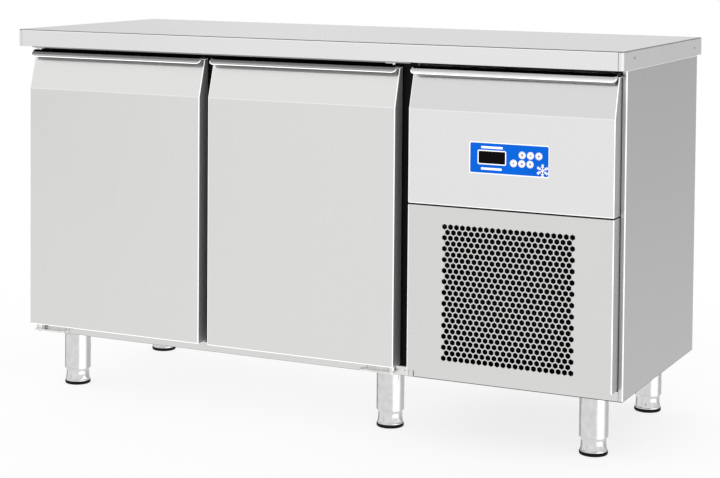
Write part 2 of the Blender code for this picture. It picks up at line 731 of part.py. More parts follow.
def evaporator():
    cover_low = (COVER_X, -0.215, 0.440)
    cover_high = (INSIDE_X[1] - GAP, 0.215, 0.774)
    cover = pan("evaporator_cover", cover_low, cover_high, "+X")
    mouth = (COVER_X, EVAPORATOR_FAN[1], EVAPORATOR_FAN[2])
    cut(cover, cylinder("fan_mouth", mouth, "X", 0.058, 0.010, 24))
    intakes = [rectangle((y / 1000, y / 1000 + 0.030), (0.480, 0.486)) for y in range(-180, 160, 45)]
    cut(cover, prism("return_slots", "X", intakes, COVER_X - 0.003, COVER_X + 0.004))
    ledge_low = (COVER_X - 0.016, cover_low[1], SHELF_Z - GAP - 0.002)
    ledge_high = (COVER_X + 0.0006, cover_high[1], SHELF_Z - GAP)
    place(join(cover, box("shelf_ledge", ledge_low, ledge_high)), STEEL)
    coil_low, coil_high = (0.163, -0.195, 0.470), (0.206, 0.195, 0.760)
    fin_pack("evaporator_coil", coil_low, coil_high, "X", 16)
    fan("evaporator_fan_blade", EVAPORATOR_FAN, "X", 0.054, 0.026, 0.014, 0.013, 5, math.radians(22))
    shaft_tip, body_front, body_back = 0.126, 0.136, coil_low[0] - GAP
    profile = [(0.0, body_back), (0.024, body_back), (0.024, body_front), (0.003, body_front),
               (0.003, shaft_tip), (0.0, shaft_tip)]
    motor_place = (0, EVAPORATOR_FAN[1], EVAPORATOR_FAN[2])
    place(turned("evaporator_fan_motor", profile, motor_place, "X"), BLACK)


# Machine bay


def condenser():
    x, y, z = CONDENSER_FAN
    half = 0.170
    fin_pack("condenser_coil", (x - half, -0.225, z - 0.165), (x + half, -0.185, z + 0.165), "Y", 26)
    shroud_back = -0.120
    low = (x - half - 0.004, -0.1845, z - 0.169)
    high = (x + half + 0.004, shroud_back, z + 0.169)
    shroud = pan("fan_shroud", low, high, "-Y")
    ring_profile = [(0.1265, 0.018), (0.1265, -0.0145), (0.1250, -0.0145), (0.1250, 0.018)]
    ring = turned("shroud_ring", ring_profile, CONDENSER_FAN, "Y", 32)
    cut(shroud, cylinder("shroud_mouth", (x, shroud_back, z), "Y", 0.1255, 0.010, 32))
    place(join(shroud, ring), BLACK)
    fan("condenser_fan_blade", CONDENSER_FAN, "Y", 0.115, 0.052, 0.022, 0.028, 5, math.radians(-28))
    arm_y = (-0.084, -0.081)
    profile = [(0.0, 0.100), (0.003, 0.100), (0.003, 0.0825), (0.038, 0.0825), (0.038, 0.030), (0.0, 0.030)]
    motor = turned("condenser_fan_motor", profile, (x, 0, z), "Y")
    join(motor, box("motor_arm", (x - 0.152, arm_y[0], z - 0.010), (x + 0.152, arm_y[1], z + 0.010)))
    for side in (-1, 1):
        xs = sorted((x + side * 0.142, x + side * 0.152))
        post_low = (xs[0], shroud_back + GAP, z - 0.008)
        join(motor, box(f"arm_post_{side + 1}", post_low, (xs[1], arm_y[0] + 0.001, z + 0.008)))
    place(motor, ZINC)


def machinery():
    floor = BODY_BOTTOM + SHEET + GAP
    place_x, place_y = 0.620, 0.130
    profile = [(0.0, 0.160), (0.045, 0.156), (0.070, 0.136), (0.080, 0.100), (0.080, 0.065),
               (0.066, 0.025), (0.0, 0.014)]
    body = turned("compressor", profile, (place_x, place_y, floor))
    foot_low = (place_x - 0.085, place_y - 0.050, floor)
    join(body, box("compressor_foot", foot_low, (place_x + 0.085, place_y + 0.050, floor + 0.024)))
    place(body, BLACK)
    line = bent(
        [
            (place_x, place_y, floor + 0.160 + GAP),
            (place_x, place_y, 0.400),
            (place_x, LINE_Y, 0.430),
            (place_x, LINE_Y, LINE_Z),
            (0.2065, LINE_Y, LINE_Z),
        ],
        0.012,
    )
    place(tube("suction_line", line, 0.005), COPPER)
    box_low, box_high = (CABLE_X - 0.060, 0.100, floor), (CABLE_X + 0.060, 0.220, 0.245)
    place(bevel(box("electrical_box", box_low, box_high), 0.003, 2), BLACK)
    outside = BODY_BACK + 0.009
    cable = bent(
        [
            (CABLE_X, box_high[1] + GAP, CABLE_Z),
            (CABLE_X, outside, CABLE_Z),
            (CABLE_X, outside, 0.160),
            (0.640, outside, 0.160),
            (0.640, outside, 0.440),
            (0.460, outside, 0.440),
            (0.460, outside, 0.260),
        ],
        0.008,
    )
    place(tube("power_cable", cable, 0.004), BLACK)


# Legs


def legs():
    wall = 0.0015
    top = BODY_BOTTOM - GAP
    sleeve = [
        (0.0, top), (LEG_RADIUS, top), (LEG_RADIUS, LEG_BOTTOM), (LEG_RADIUS - wall, LEG_BOTTOM),
        (LEG_RADIUS - wall, top - 0.002), (0.0, top - 0.002),
    ]
    stem = [
        (0.0, 0.020), (0.0235, 0.020), (0.0235, 0.085), (0.0285, 0.085), (0.0285, 0.036),
        (0.0255, 0.033), (0.0255, 0.022), (0.0290, 0.014), (0.0290, 0.008), (0.0, 0.008),
    ]
    pad = [(0.0, 0.013), (0.0305, 0.013), (0.0305, 0.004), (0.0295, 0.0), (0.0, 0.0)]
    for word, (x, y) in LEG_PLACES.items():
        place(turned(f"leg_tube_{word}", sleeve, (x, y, 0)), STEEL)
        foot = turned(f"adjustable_foot_{word}", stem, (x, y, 0))
        place(join(foot, turned(f"foot_pad_{word}", pad, (x, y, 0), steps=8)), STEEL)


worktop()
outer_panels()
cold_cabinet()
front_frame()
door("left", LEFT_DOOR_X, -1)
door("right", RIGHT_DOOR_X, 1)
controls()
grille_panel()
shelves_and_rails()
evaporator()
condenser()
machinery()
legs()
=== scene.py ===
"""Looks for the refrigerated work counter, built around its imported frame.

Metres, +Z up. The origin is on the floor at the middle of the footprint, and the doors face -Y.
"""

import json
import math

import bmesh
import bpy
from mathutils import Matrix, Vector


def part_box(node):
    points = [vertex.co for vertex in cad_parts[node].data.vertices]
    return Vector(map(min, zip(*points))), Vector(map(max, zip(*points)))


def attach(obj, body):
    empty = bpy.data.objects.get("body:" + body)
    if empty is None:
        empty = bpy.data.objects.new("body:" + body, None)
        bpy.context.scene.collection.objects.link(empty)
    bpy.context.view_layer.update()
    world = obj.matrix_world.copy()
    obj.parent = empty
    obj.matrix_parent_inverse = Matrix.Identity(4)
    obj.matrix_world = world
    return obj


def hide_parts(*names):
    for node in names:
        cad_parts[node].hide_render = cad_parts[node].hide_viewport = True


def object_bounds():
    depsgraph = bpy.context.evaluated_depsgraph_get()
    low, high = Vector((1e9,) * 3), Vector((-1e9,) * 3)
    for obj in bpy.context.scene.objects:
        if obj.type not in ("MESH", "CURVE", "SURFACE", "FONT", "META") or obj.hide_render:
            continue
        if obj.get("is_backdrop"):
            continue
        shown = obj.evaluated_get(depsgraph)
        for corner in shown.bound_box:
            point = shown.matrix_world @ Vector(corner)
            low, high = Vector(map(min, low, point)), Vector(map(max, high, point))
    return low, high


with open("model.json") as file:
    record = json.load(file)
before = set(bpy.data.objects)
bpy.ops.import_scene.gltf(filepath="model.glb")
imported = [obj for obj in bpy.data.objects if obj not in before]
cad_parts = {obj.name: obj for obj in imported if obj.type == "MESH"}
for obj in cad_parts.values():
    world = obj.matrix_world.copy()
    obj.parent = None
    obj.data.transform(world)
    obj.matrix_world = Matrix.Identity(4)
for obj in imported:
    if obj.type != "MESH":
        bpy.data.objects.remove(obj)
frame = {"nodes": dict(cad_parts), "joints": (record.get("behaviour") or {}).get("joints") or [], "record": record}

CAD_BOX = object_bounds()
BODY_OF = {node: body for body, nodes in frame["record"]["behaviour"]["bodies"].items() for node in nodes}

# Measures taken from the frame
FRONT, BACK = CAD_BOX[0].y, CAD_BOX[1].y
HALF = CAD_BOX[1].x
HEIGHT = CAD_BOX[1].z
TOP_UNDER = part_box("worktop")[0].z
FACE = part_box("grille_panel")[0].y
DOOR_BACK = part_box("left_door_shell")[1].y
FRAME_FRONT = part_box("left_door_gasket")[1].y + 0.001

# Driving values of the design
SHEET = 0.001
GAP = 0.0003
PRINT = 0.00012  # thickness of a printed mark
FOLD = 0.0021  # radius of a folded edge
TOP_CORNER = 0.010  # the worktop's front corners, seen from above
TOP_ROUND = 0.0030  # its upper edge
CREASE_Z = 0.721
DOOR_TOP = 0.806
LEAN = 0.021 / 0.071
DISPLAY_X, DISPLAY_Z, DISPLAY_CORNER = (0.433, 0.4925), (0.615, 0.641), 0.0012
KEY_HOLE = 0.0069
CABLE_X, CABLE_Z = 0.360, 0.200  # where the cable leaves the back
LINE_Y, LINE_RADIUS = 0.100, 0.005

# A face's material index: the finish it takes out of those its piece is given. The third picks a finish with
# painted shade
MAIN, FOLDS, PAINTED_SHADE, BAND, LEANING, CREASED = range(6)
MOST_FINISHES = 6
BODY = "counter_body"
USUAL = (0.3, 0.7)  # where most of a noise's values lie
WHITE = (1.0, 1.0, 1.0, 1.0)


# Nodes of a material


def add(tree, kind, inputs=None, **settings):
    """A new shader node. An input takes a value or another node's socket."""
    node = tree.nodes.new("ShaderNode" + kind)
    for key, value in settings.items():
        setattr(node, key, value)
    for key, value in (inputs or {}).items():
        set_input(tree, node.inputs[key], value)
    return node


def set_input(tree, socket, value):
    if isinstance(value, bpy.types.NodeSocket):
        tree.links.new(value, socket)
    else:
        socket.default_value = value


def maths(tree, operation, first, second):
    return add(tree, "Math", {0: first, 1: second}, operation=operation).outputs[0]


def plus(tree, first, second):
    return maths(tree, "ADD", first, second)


def times(tree, first, second):
    return maths(tree, "MULTIPLY", first, second)


def ramp(tree, value, start, end, low=0.0, high=1.0, smooth=False):
    """The value carried from the span start..end to low..high, and held there outside it."""
    settings = {"interpolation_type": "SMOOTHSTEP"} if smooth else {}
    inputs = {"Value": value, "From Min": start, "From Max": end, "To Min": low, "To Max": high}
    return add(tree, "MapRange", inputs, **settings).outputs[0]


def spread(tree, value, low, high):
    """A noise's usual values carried to low..high."""
    return ramp(tree, value, *USUAL, low, high)


def stretched(tree, scale):
    """Places on the object, scaled by one number or by one for each axis."""
    scale = (scale,) * 3 if isinstance(scale, float) else scale
    place = add(tree, "TexCoord").outputs["Object"]
    return add(tree, "Mapping", {"Vector": place, "Scale": scale}).outputs[0]


def noise(tree, scale, detail, roughness=0.5):
    inputs = {"Vector": stretched(tree, scale), "Scale": 1.0, "Detail": detail, "Roughness": roughness}
    return add(tree, "TexNoise", inputs).outputs["Fac"]


def mixed(tree, factor, first, second, blend="MIX"):
    """Two colours mixed. The node's colour sockets are its seventh and eighth inputs and its third output."""
    return add(tree, "Mix", {0: factor, 6: first, 7: second}, data_type="RGBA", blend_type=blend).outputs[2]


def greyed(tree, level):
    return add(tree, "CombineColor", {0: level, 1: level, 2: level}).outputs[0]


def tinted(tree, colour, amount):
    """A colour, or a grey given as one number, times an amount."""
    colour = (colour,) * 3 if isinstance(colour, float) else colour
    return mixed(tree, 1.0, (*colour, 1.0), greyed(tree, amount), "MULTIPLY")


def bumped(tree, height, distance, strength):
    return add(tree, "Bump", {"Height": height, "Distance": distance, "Strength": strength}).outputs[0]


def blank(name, slot):
    """A new material and its tree. The slot is the record's material slot."""
    made = bpy.data.materials.new(name)
    made.use_nodes = True
    made["slot"] = slot
    return made, made.node_tree


def wired(made, **inputs):
    """The material, with these inputs of its shader set or linked."""
    shader = made.node_tree.nodes["Principled BSDF"]
    for key, value in inputs.items():
        set_input(made.node_tree, shader.inputs[key.replace("_", " ")], value)
    return made


# Materials


def brushed(
    name, grain, colour=(0.74, 0.74, 0.73), roughness=0.27, slot="brushed_steel", metallic=1.0, painted_glow=0.0,
    shade_reach=0.0, shade_reach_span=(0.16, 0.38),
):
    """Sheet metal with a fine grain along one axis, longer streaks, and soft smears from wiping.

    With a shade reach, it paints shade where other faces nearer than that leave less of it open than the span.
    """
    made, tree = blank(name, slot)
    along_grain = [float(axis == grain) for axis in "XYZ"]
    fine = noise(tree, [9.0 if along else 1500.0 for along in along_grain], 3.0, 0.6)
    streak = noise(tree, [1.3 if along else 170.0 for along in along_grain], 3.0, 0.65)
    smear = noise(tree, 2.6, 4.0, 0.55)
    shade = plus(tree, spread(tree, fine, 0.988, 1.012), spread(tree, streak, -0.0035, 0.0035))
    shade = plus(tree, shade, spread(tree, smear, -0.009, 0.009))
    if shade_reach:
        # Painted shade: darker where nearby faces close the sheet in
        clear = add(tree, "AmbientOcclusion", {"Distance": shade_reach}, samples=8).outputs["AO"]
        shade = times(tree, shade, ramp(tree, clear, *shade_reach_span, 0.03, 1.0))
    rough = spread(tree, fine, roughness - 0.03, roughness + 0.03)
    rough = plus(tree, rough, spread(tree, smear, -0.03, 0.03))
    to_world = {"vector_type": "VECTOR", "convert_from": "OBJECT", "convert_to": "WORLD"}
    tangent = add(tree, "VectorTransform", {"Vector": along_grain}, **to_world).outputs[0]
    # A painted glow, where one is given, is painted light from the sheet itself
    return wired(
        made, Metallic=metallic, Roughness=rough, Base_Color=tinted(tree, colour, shade), Anisotropic=0.45,
        Tangent=tangent, Normal=bumped(tree, fine, 0.00001, 0.25), Emission_Color=WHITE,
        Emission_Strength=painted_glow,
    )


def polished(name, colour, roughness, slot="brushed_steel", ring_scale=900.0):
    """Turned or plated metal, with faint rings and small blotches."""
    made, tree = blank(name, slot)
    rings = noise(tree, (30.0, 30.0, ring_scale), 2.0)
    blotch = noise(tree, 60.0, 4.0)
    rough = spread(tree, rings, roughness - 0.03, roughness + 0.03)
    return wired(
        made, Metallic=1.0, Roughness=plus(tree, rough, ramp(tree, blotch, 0.4, 0.7, 0.0, 0.05)),
        Base_Color=tinted(tree, colour, spread(tree, blotch, 0.90, 1.04)),
        Normal=bumped(tree, rings, 0.00002, 0.3),
    )


def galvanised(name, colour, roughness, slot):
    """Zinc-coated sheet, with the soft patches of its crystals."""
    made, tree = blank(name, slot)
    inputs = {"Vector": stretched(tree, 130.0), "Scale": 1.0, "Randomness": 1.0}
    patch = add(tree, "SeparateColor", {0: add(tree, "TexVoronoi", inputs).outputs["Color"]}).outputs[0]
    cloud = noise(tree, 9.0, 4.0)
    shade = times(tree, ramp(tree, patch, 0.0, 1.0, 0.93, 1.03), spread(tree, cloud, 0.96, 1.02))
    rough = ramp(tree, patch, 0.0, 1.0, roughness - 0.07, roughness + 0.07)
    return wired(
        made, Metallic=0.9, Roughness=plus(tree, rough, spread(tree, cloud, -0.03, 0.03)),
        Base_Color=tinted(tree, colour, shade), Normal=bumped(tree, patch, 0.00001, 0.4),
    )


def moulded(name, colour, roughness, slot, grain=900.0, depth=0.00006, coat=0.0, shine=0.5, painted_glow=0.0):
    """Plastic, rubber or paint, with a fine moulded grain and slight wear, and a painted glow where one is given.
    """
    made, tree = blank(name, slot)
    fine = noise(tree, grain, 3.0)
    cloud = noise(tree, 14.0, 4.0)
    rough = spread(tree, cloud, roughness - 0.06, roughness + 0.06)
    shade = plus(tree, spread(tree, cloud, 0.94, 1.05), spread(tree, fine, -0.03, 0.03))
    return wired(
        made, Roughness=plus(tree, rough, ramp(tree, fine, 0.4, 0.7, 0.0, 0.05)),
        Base_Color=tinted(tree, colour, shade), Coat_Weight=coat, Specular_IOR_Level=shine,
        Emission_Color=WHITE, Emission_Strength=painted_glow, Normal=bumped(tree, fine, depth, 0.6),
    )


def foam(name, colour):
    """Cut polyurethane foam: cells with dark mouths and a mottled body."""
    made, tree = blank(name, "polyurethane_foam")
    inputs = {"Vector": stretched(tree, 800.0), "Scale": 1.0}
    cells = add(tree, "TexVoronoi", inputs).outputs["Distance"]
    cloud = noise(tree, 25.0, 4.0)
    shade = times(tree, ramp(tree, cells, 0.0, 0.5, 0.7, 1.0), spread(tree, cloud, 0.9, 1.05))
    tint = tinted(tree, colour, shade)
    return wired(made, Roughness=0.95, Base_Color=tint, Normal=bumped(tree, cells, 0.0006, 0.7))


STEEL_X = brushed("steel_grain_along", "X")
STEEL_Z = brushed("steel_grain_upright", "Z")
# The worktop's front faces are painted lighter than its top
TOP_FRONT_PAINTED_LIGHTER = brushed("worktop_front_painted_lighter", "X", 0.84)
TOP_FACE_STEEL = brushed("worktop_face_steel", "X", 0.735)
# A painted dark reflection along the worktop's rounded upper edge
TOP_EDGE_PAINTED_DARK = brushed("worktop_edge_painted_dark", "X", 0.26)
# The end caps are painted lighter
CAP_PAINTED_LIGHTER = brushed("end_cap_steel", "Y", 1.0)
DOOR_STEEL = brushed("door_steel", "Z", (0.765, 0.765, 0.755))
# A painted highlight along the fronts' crease
CREASE_HIGHLIGHT = brushed("crease_painted_highlight", "X", (0.87, 0.87, 0.86))
# The fascia's flat is painted lighter and its lean painted darker
FASCIA_PAINTED_LIGHTER = brushed("fascia_painted_lighter", "X", (0.84, 0.83, 0.83))
FASCIA_LEAN_PAINTED_DARKER = brushed("fascia_lean_painted_darker", "X", (0.70, 0.69, 0.69))
GRILLE_STEEL = brushed("grille_steel", "X", (0.73, 0.73, 0.72))
# The fascia's lip: a painted glow, and painted shade where the worktop hangs over it
FASCIA_LIP_PAINTED = brushed("fascia_lip_painted_glow_and_shade", "X", (0.95, 0.95, 0.94), 0.20, metallic=0.5, painted_glow=0.20, shade_reach=0.016)
# The door lips: painted darker as a painted reflection of the dark under the worktop, with a faint painted glow
# and painted shade
DOOR_LIP_PAINTED_SHADE = brushed(
    "door_lip_painted_shade_and_glow", "X", (0.45, 0.45, 0.445), 0.12, metallic=0.6, painted_glow=0.05, shade_reach=0.020
)
# Painted shade on the lips' upper rows, under the worktop
LIP_TOP_PAINTED_SHADE = brushed("lip_top_painted_shade", "X", (0.34, 0.34, 0.335), 0.12, shade_reach=0.06, shade_reach_span=(0.35, 0.85))
# Painted shade on the lips' inner side
LIP_UNDERSIDE_PAINTED_SHADE = brushed("lip_underside", "X", 0.05, 0.30)
# The bands under the lips: a painted reflection of the lips' dark undersides
DOOR_BAND_PAINTED_REFLECTION = brushed("door_band_painted_reflection", "X", (0.42, 0.42, 0.415), 0.35, metallic=0.35)
FASCIA_BAND_PAINTED_REFLECTION = brushed("fascia_band_painted_reflection", "X", 0.66, 0.35, metallic=0.35)
# Painted shade on the fronts' side walls, in the gaps between them
WALL_PAINTED_SHADE = brushed("front_return_painted_shade", "Z", 0.42, 0.45, metallic=0.45)
# Painted shade on faces that look down
UNDERSIDE_PAINTED_SHADE = brushed("underside_painted_shade", "X", 0.10, 0.35)
SIDE_STEEL = brushed("side_steel", "Z", 0.70)
# A painted highlight on folded edges
FOLD_PAINTED_HIGHLIGHT = brushed("fold_painted_highlight", "Z", 1.0, 0.34, metallic=0.35, painted_glow=0.25)
# A painted highlight on the lips' hems
HEM_PAINTED_HIGHLIGHT = brushed("hem_painted_highlight", "X", 1.0, 0.34, metallic=0.35, painted_glow=0.7)
LINER_STEEL = brushed("liner_steel", "Z", 0.70, 0.34)
ALUMINIUM = brushed("aluminium_fins", "Z", (0.78, 0.79, 0.80), 0.36, "aluminium_fin")
ZINC = galvanised("zinc_sheet", (0.66, 0.67, 0.68), 0.42, "zinc_plate")
CHROME = polished("polished_leg", 0.72, 0.13)
RIVET_STEEL = polished("rivet_head", 0.30, 0.22)
PIN_STEEL = polished("bright_pin", (0.85, 0.85, 0.84), 0.20, "zinc_plate")
CHROME_WIRE = polished("chrome_wire", 0.80, 0.16, "zinc_plate", 60.0)
COPPER = polished("copper_tube", (0.78, 0.42, 0.28), 0.26, "copper_line")
FOAM = foam("foam_core", (0.78, 0.70, 0.45))
# The worktop's underside is near black
DARK_UNDERSIDE = moulded("worktop_dark_underside", (0.016, 0.015, 0.015), 0.75, "black_plastic", 500.0, 0.0001)
FRAME_BLACK = moulded("frame_black", (0.010, 0.010, 0.011), 0.55, "black_plastic", 700.0, 0.00005, shine=0.15)
FIN_BLACK = moulded("black_fins", (0.016, 0.016, 0.017), 0.50, "aluminium_fin", 500.0, 0.00005, shine=0.3)
RUBBER = moulded("gasket_rubber", (0.20, 0.20, 0.21), 0.62, "grey_gasket", 500.0, 0.0001)
FOOT_RUBBER = moulded("foot_rubber", 0.006, 0.60, "black_plastic", 700.0, 0.0001, shine=0.1)
BLACK = moulded("black_moulding", (0.022, 0.022, 0.024), 0.45, "black_plastic")
IRON = moulded("black_enamel", (0.018, 0.018, 0.020), 0.30, "black_iron", 260.0, 0.0002, 0.3)
CABLE = moulded("cable_sheath", (0.015, 0.015, 0.016), 0.48, "black_plastic", 1200.0, 0.00004)
BLUE = moulded("overlay_film", (0.0, 0.140, 0.76), 0.42, "blue_overlay", 1600.0, 0.00003, shine=0.08)
# The printed white and the keys glow a little: painted light
PRINT_WHITE = moulded("printed_white", 0.98, 0.42, "white_key", 1600.0, 0.00003, painted_glow=0.25)
KEY_WHITE = moulded("key_white", 0.97, 0.36, "white_key", 1400.0, 0.00003, 0.2, painted_glow=0.12)
KEY_MARK = moulded("key_mark", (0.05, 0.07, 0.16), 0.5, "blue_overlay", 1600.0, 0.00003)
SCREEN = moulded("display_window", (0.004, 0.003, 0.003), 0.12, "black_plastic", 90.0, 0.00001, shine=0.03)

# The leaning fronts: flat, folds with a painted highlight, side walls in painted shade, band under the lip with a
# painted reflection, lean, and crease with a painted highlight
DOOR_FINISHES = (DOOR_STEEL, FOLD_PAINTED_HIGHLIGHT, WALL_PAINTED_SHADE, DOOR_BAND_PAINTED_REFLECTION, DOOR_STEEL, CREASE_HIGHLIGHT)
FASCIA_FINISHES = (FASCIA_PAINTED_LIGHTER, FOLD_PAINTED_HIGHLIGHT, WALL_PAINTED_SHADE, FASCIA_BAND_PAINTED_REFLECTION, FASCIA_LEAN_PAINTED_DARKER, CREASE_HIGHLIGHT)


# Building pieces


def as_object(name, mesh):
    """A built mesh as an object, with its faces turned outward; finished mesh data stays as it is."""
    data = mesh
    if isinstance(mesh, bmesh.types.BMesh):
        bmesh.ops.recalc_face_normals(mesh, faces=mesh.faces)
        data = as_data(name, mesh)
    obj = bpy.data.objects.new(name, data)
    bpy.context.scene.collection.objects.link(obj)
    return obj


def as_data(name, mesh):
    data = bpy.data.meshes.new(name)
    mesh.to_mesh(data)
    mesh.free()
    return data


def show(obj, finish, nodes=(), body=None, sharp=35.0, weighted=True):
    """Finish a piece, ride it on its body, and let it stand for the CAD nodes it was made from.

    With several finishes, the first is the main one, and faces choose by their material index.
    A piece with neither nodes nor a body of its own rides on the counter's.
    """
    nodes = (nodes,) if isinstance(nodes, str) else nodes
    finishes = finish if isinstance(finish, tuple) else (finish,)
    chosen = [min(face.material_index, len(finishes) - 1) for face in obj.data.polygons]
    obj.data.materials.clear()
    for each in finishes:
        obj.data.materials.append(each)
    obj.data.polygons.foreach_set("material_index", chosen)
    obj.data.shade_smooth()
    obj.data.set_sharp_from_angle(angle=math.radians(sharp))
    if weighted:
        obj.modifiers.new("shading", "WEIGHTED_NORMAL").keep_sharp = True
    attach(obj, body or (BODY_OF[nodes[0]] if nodes else BODY))
    if nodes:
        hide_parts(*nodes)


def finish_by(obj, rule):
    """The object, with each face's material index by a rule."""
    for face in obj.data.polygons:
        face.material_index = rule(face)
    return obj


def evaluated(obj):
    """A new mesh of the object with its modifiers, or of a drawn curve."""
    graph = bpy.context.evaluated_depsgraph_get()
    return bpy.data.meshes.new_from_object(obj.evaluated_get(graph))


def applied(obj):
    """The object with its modifiers made part of its mesh."""
    obj.data = evaluated(obj)
    obj.modifiers.clear()
    return obj


def combined(obj, others, operation="DIFFERENCE"):
    """The object cut by, joined with or kept inside the others, which are used up."""
    while len(obj.data.materials) < MOST_FINISHES:
        obj.data.materials.append(None)
    for other in others:
        step = obj.modifiers.new("shape", "BOOLEAN")
        step.operation = operation
        step.solver = "EXACT"
        step.object = other
    applied(obj)
    for other in others:
        bpy.data.objects.remove(other, do_unlink=True)
    return obj


def merged(name, parts):
    """Several meshes as one object."""
    mesh = bmesh.new()
    for part in parts:
        mesh.from_mesh(applied(part).data)
        bpy.data.objects.remove(part, do_unlink=True)
    return as_object(name, as_data(name, mesh))


def fold_edges(mesh, edges, radius, segments=4):
    """Round these folds, and give their narrow faces the folds' finish."""
    settings = {"offset": radius, "segments": segments, "profile": 0.5, "affect": "EDGES"}
    bmesh.ops.bevel(mesh, geom=edges, material=FOLDS, **settings)


def paint_underside_shade(obj):
    """Painted shade on the faces of a piece that look down, folds included."""

    def rule(face):
        limit = -0.1 if face.material_index == FOLDS else -0.35
        return PAINTED_SHADE if face.normal.z < limit else face.material_index

    return finish_by(obj, rule)


def thickened(obj, wall, offset=-1):
    sheet = obj.modifiers.new("sheet", "SOLIDIFY")
    sheet.thickness = wall
    sheet.offset = offset
    sheet.use_even_offset = True
    return obj


def cuboid(mesh, low, high):
    """A box added to a mesh that is being built."""
    low, high = Vector(low), Vector(high)
    placing = Matrix.Translation((low + high) / 2) @ Matrix.Diagonal((*(high - low), 1))
    bmesh.ops.create_cube(mesh, size=1.0, matrix=placing)


def soft_box(name, low, high, radius, segments=3):
    """A box with every edge rounded."""
    mesh = bmesh.new()
    cuboid(mesh, low, high)
    bmesh.ops.bevel(mesh, geom=mesh.edges[:], offset=radius, segments=segments, profile=0.5, affect="EDGES")
    return as_object(name, mesh)


def folded_pan(name, low, high, open_side, fold=FOLD, segments=4):
    """A folded sheet box with one side open, such as "-Y"."""
    mesh = bmesh.new()
    cuboid(mesh, low, high)
    mesh.normal_update()
    outward = Vector((0, 0, 0))
    outward["XYZ".index(open_side[1])] = 1 if open_side[0] == "+" else -1
    lid = [face for face in mesh.faces if face.normal.dot(outward) > 0.9]
    bmesh.ops.delete(mesh, geom=lid, context="FACES")
    fold_edges(mesh, [edge for edge in mesh.edges if len(edge.link_faces) == 2], fold, segments)
    return thickened(as_object(name, mesh), SHEET)


def loft(name, rings, ends=True, closed=False):
    """A skin over rings of equally many points, capped at its ends or closed on itself."""
    mesh = bmesh.new()
    loops = [[mesh.verts.new(point) for point in ring] for ring in rings]
    for low, high in zip(loops, loops[1:] + (loops[:1] if closed else [])):
        for here, after in zip(range(len(low)), [*range(1, len(low)), 0]):
            mesh.faces.new((low[here], low[after], high[after], high[here]))
    if ends and not closed:
        mesh.faces.new(loops[0])
        mesh.faces.new(loops[-1])
    return as_object(name, mesh)


def skinned(mesh, grid):
    """Faces between neighbouring lines of a grid of points: each face with its place along its line."""
    faces = []
    for near, far in zip(grid, grid[1:]):
        for row in range(len(near) - 1):
            faces.append((row, mesh.faces.new((near[row], near[row + 1], far[row + 1], far[row]))))
    return faces


def arc(centre, radius, start_deg, end_deg, steps=6):
    turns = [math.radians(start_deg + (end_deg - start_deg) * n / steps) for n in range(steps + 1)]
    return [(centre[0] + radius * math.cos(a), centre[1] + radius * math.sin(a)) for a in turns]


def rounded(x_span, z_span, radii, inset=0.0, steps=6):
    """A rectangle inset by some distance, with its corners rounded one by one from the low left one."""
    left, right = x_span[0] + inset, x_span[1] - inset
    bottom, top = z_span[0] + inset, z_span[1] - inset
    radii = [radii] * 4 if isinstance(radii, (int, float)) else radii
    radii = [max(radius - inset, 0.0002) for radius in radii]
    signs = ((1, 1), (-1, 1), (-1, -1), (1, -1))
    corners = ((left, bottom), (right, bottom), (right, top), (left, top))
    points = []
    for quarter, ((x, z), (sx, sz), radius) in enumerate(zip(corners, signs, radii)):
        centre = (x + sx * radius, z + sz * radius)
        points += arc(centre, radius, 180 + 90 * quarter, 270 + 90 * quarter, steps)
    return points


def circle(centre, radius, segments=32, start_deg=0.0):
    return arc(centre, radius, start_deg, start_deg + 360, segments)[:-1]


def standing(points, y):
    """Points drawn as (x, z), placed at a depth."""
    return [(x, y, z) for x, z in points]


def drawn(curve, paths, cyclic):
    """The mesh of a curve through lists of points."""
    for path in paths:
        spline = curve.splines.new("POLY")
        spline.points.add(len(path) - 1)
        for point, place in zip(spline.points, path):
            point.co = (*place, 0, 1) if len(place) == 2 else (*place, 1)
        spline.use_cyclic_u = cyclic
    obj = bpy.data.objects.new(curve.name + "_drawn", curve)
    bpy.context.scene.collection.objects.link(obj)
    bpy.context.view_layer.update()
    mesh = bmesh.new()
    mesh.from_mesh(evaluated(obj))
    bpy.data.objects.remove(obj, do_unlink=True)
    return mesh


def plate(name, loops, low, high, axis="Y"):
    """A flat outline, with any holes as further loops, carried along an axis from low to high."""
    curve = bpy.data.curves.new(name, "CURVE")
    curve.dimensions = "2D"
    curve.fill_mode = "BOTH"
    curve.extrude = (high - low) / 2
    mesh = drawn(curve, loops, True)
    turn = {
        "X": Matrix(((0, 0, 1), (1, 0, 0), (0, 1, 0))),
        "Y": Matrix(((1, 0, 0), (0, 0, -1), (0, 1, 0))),
        "Z": Matrix.Identity(3),
    }[axis].to_4x4()
    middle = Vector((0, 0, 0))
    middle["XYZ".index(axis)] = (low + high) / 2
    mesh.transform(Matrix.Translation(middle) @ turn)
    bmesh.ops.remove_doubles(mesh, verts=mesh.verts, dist=1e-6)
    return as_object(name, mesh)


def wire(name, paths, radius, cyclic=False, resolution=4):
    """Round wires or pipes through lists of points, as one mesh with filled ends."""
    curve = bpy.data.curves.new(name, "CURVE")
    curve.dimensions = "3D"
    curve.bevel_depth = radius
    curve.bevel_resolution = resolution
    curve.use_fill_caps = not cyclic
    mesh = drawn(curve, paths, cyclic)
    bmesh.ops.remove_doubles(mesh, verts=mesh.verts, dist=1e-6)
    return as_object(name, mesh)


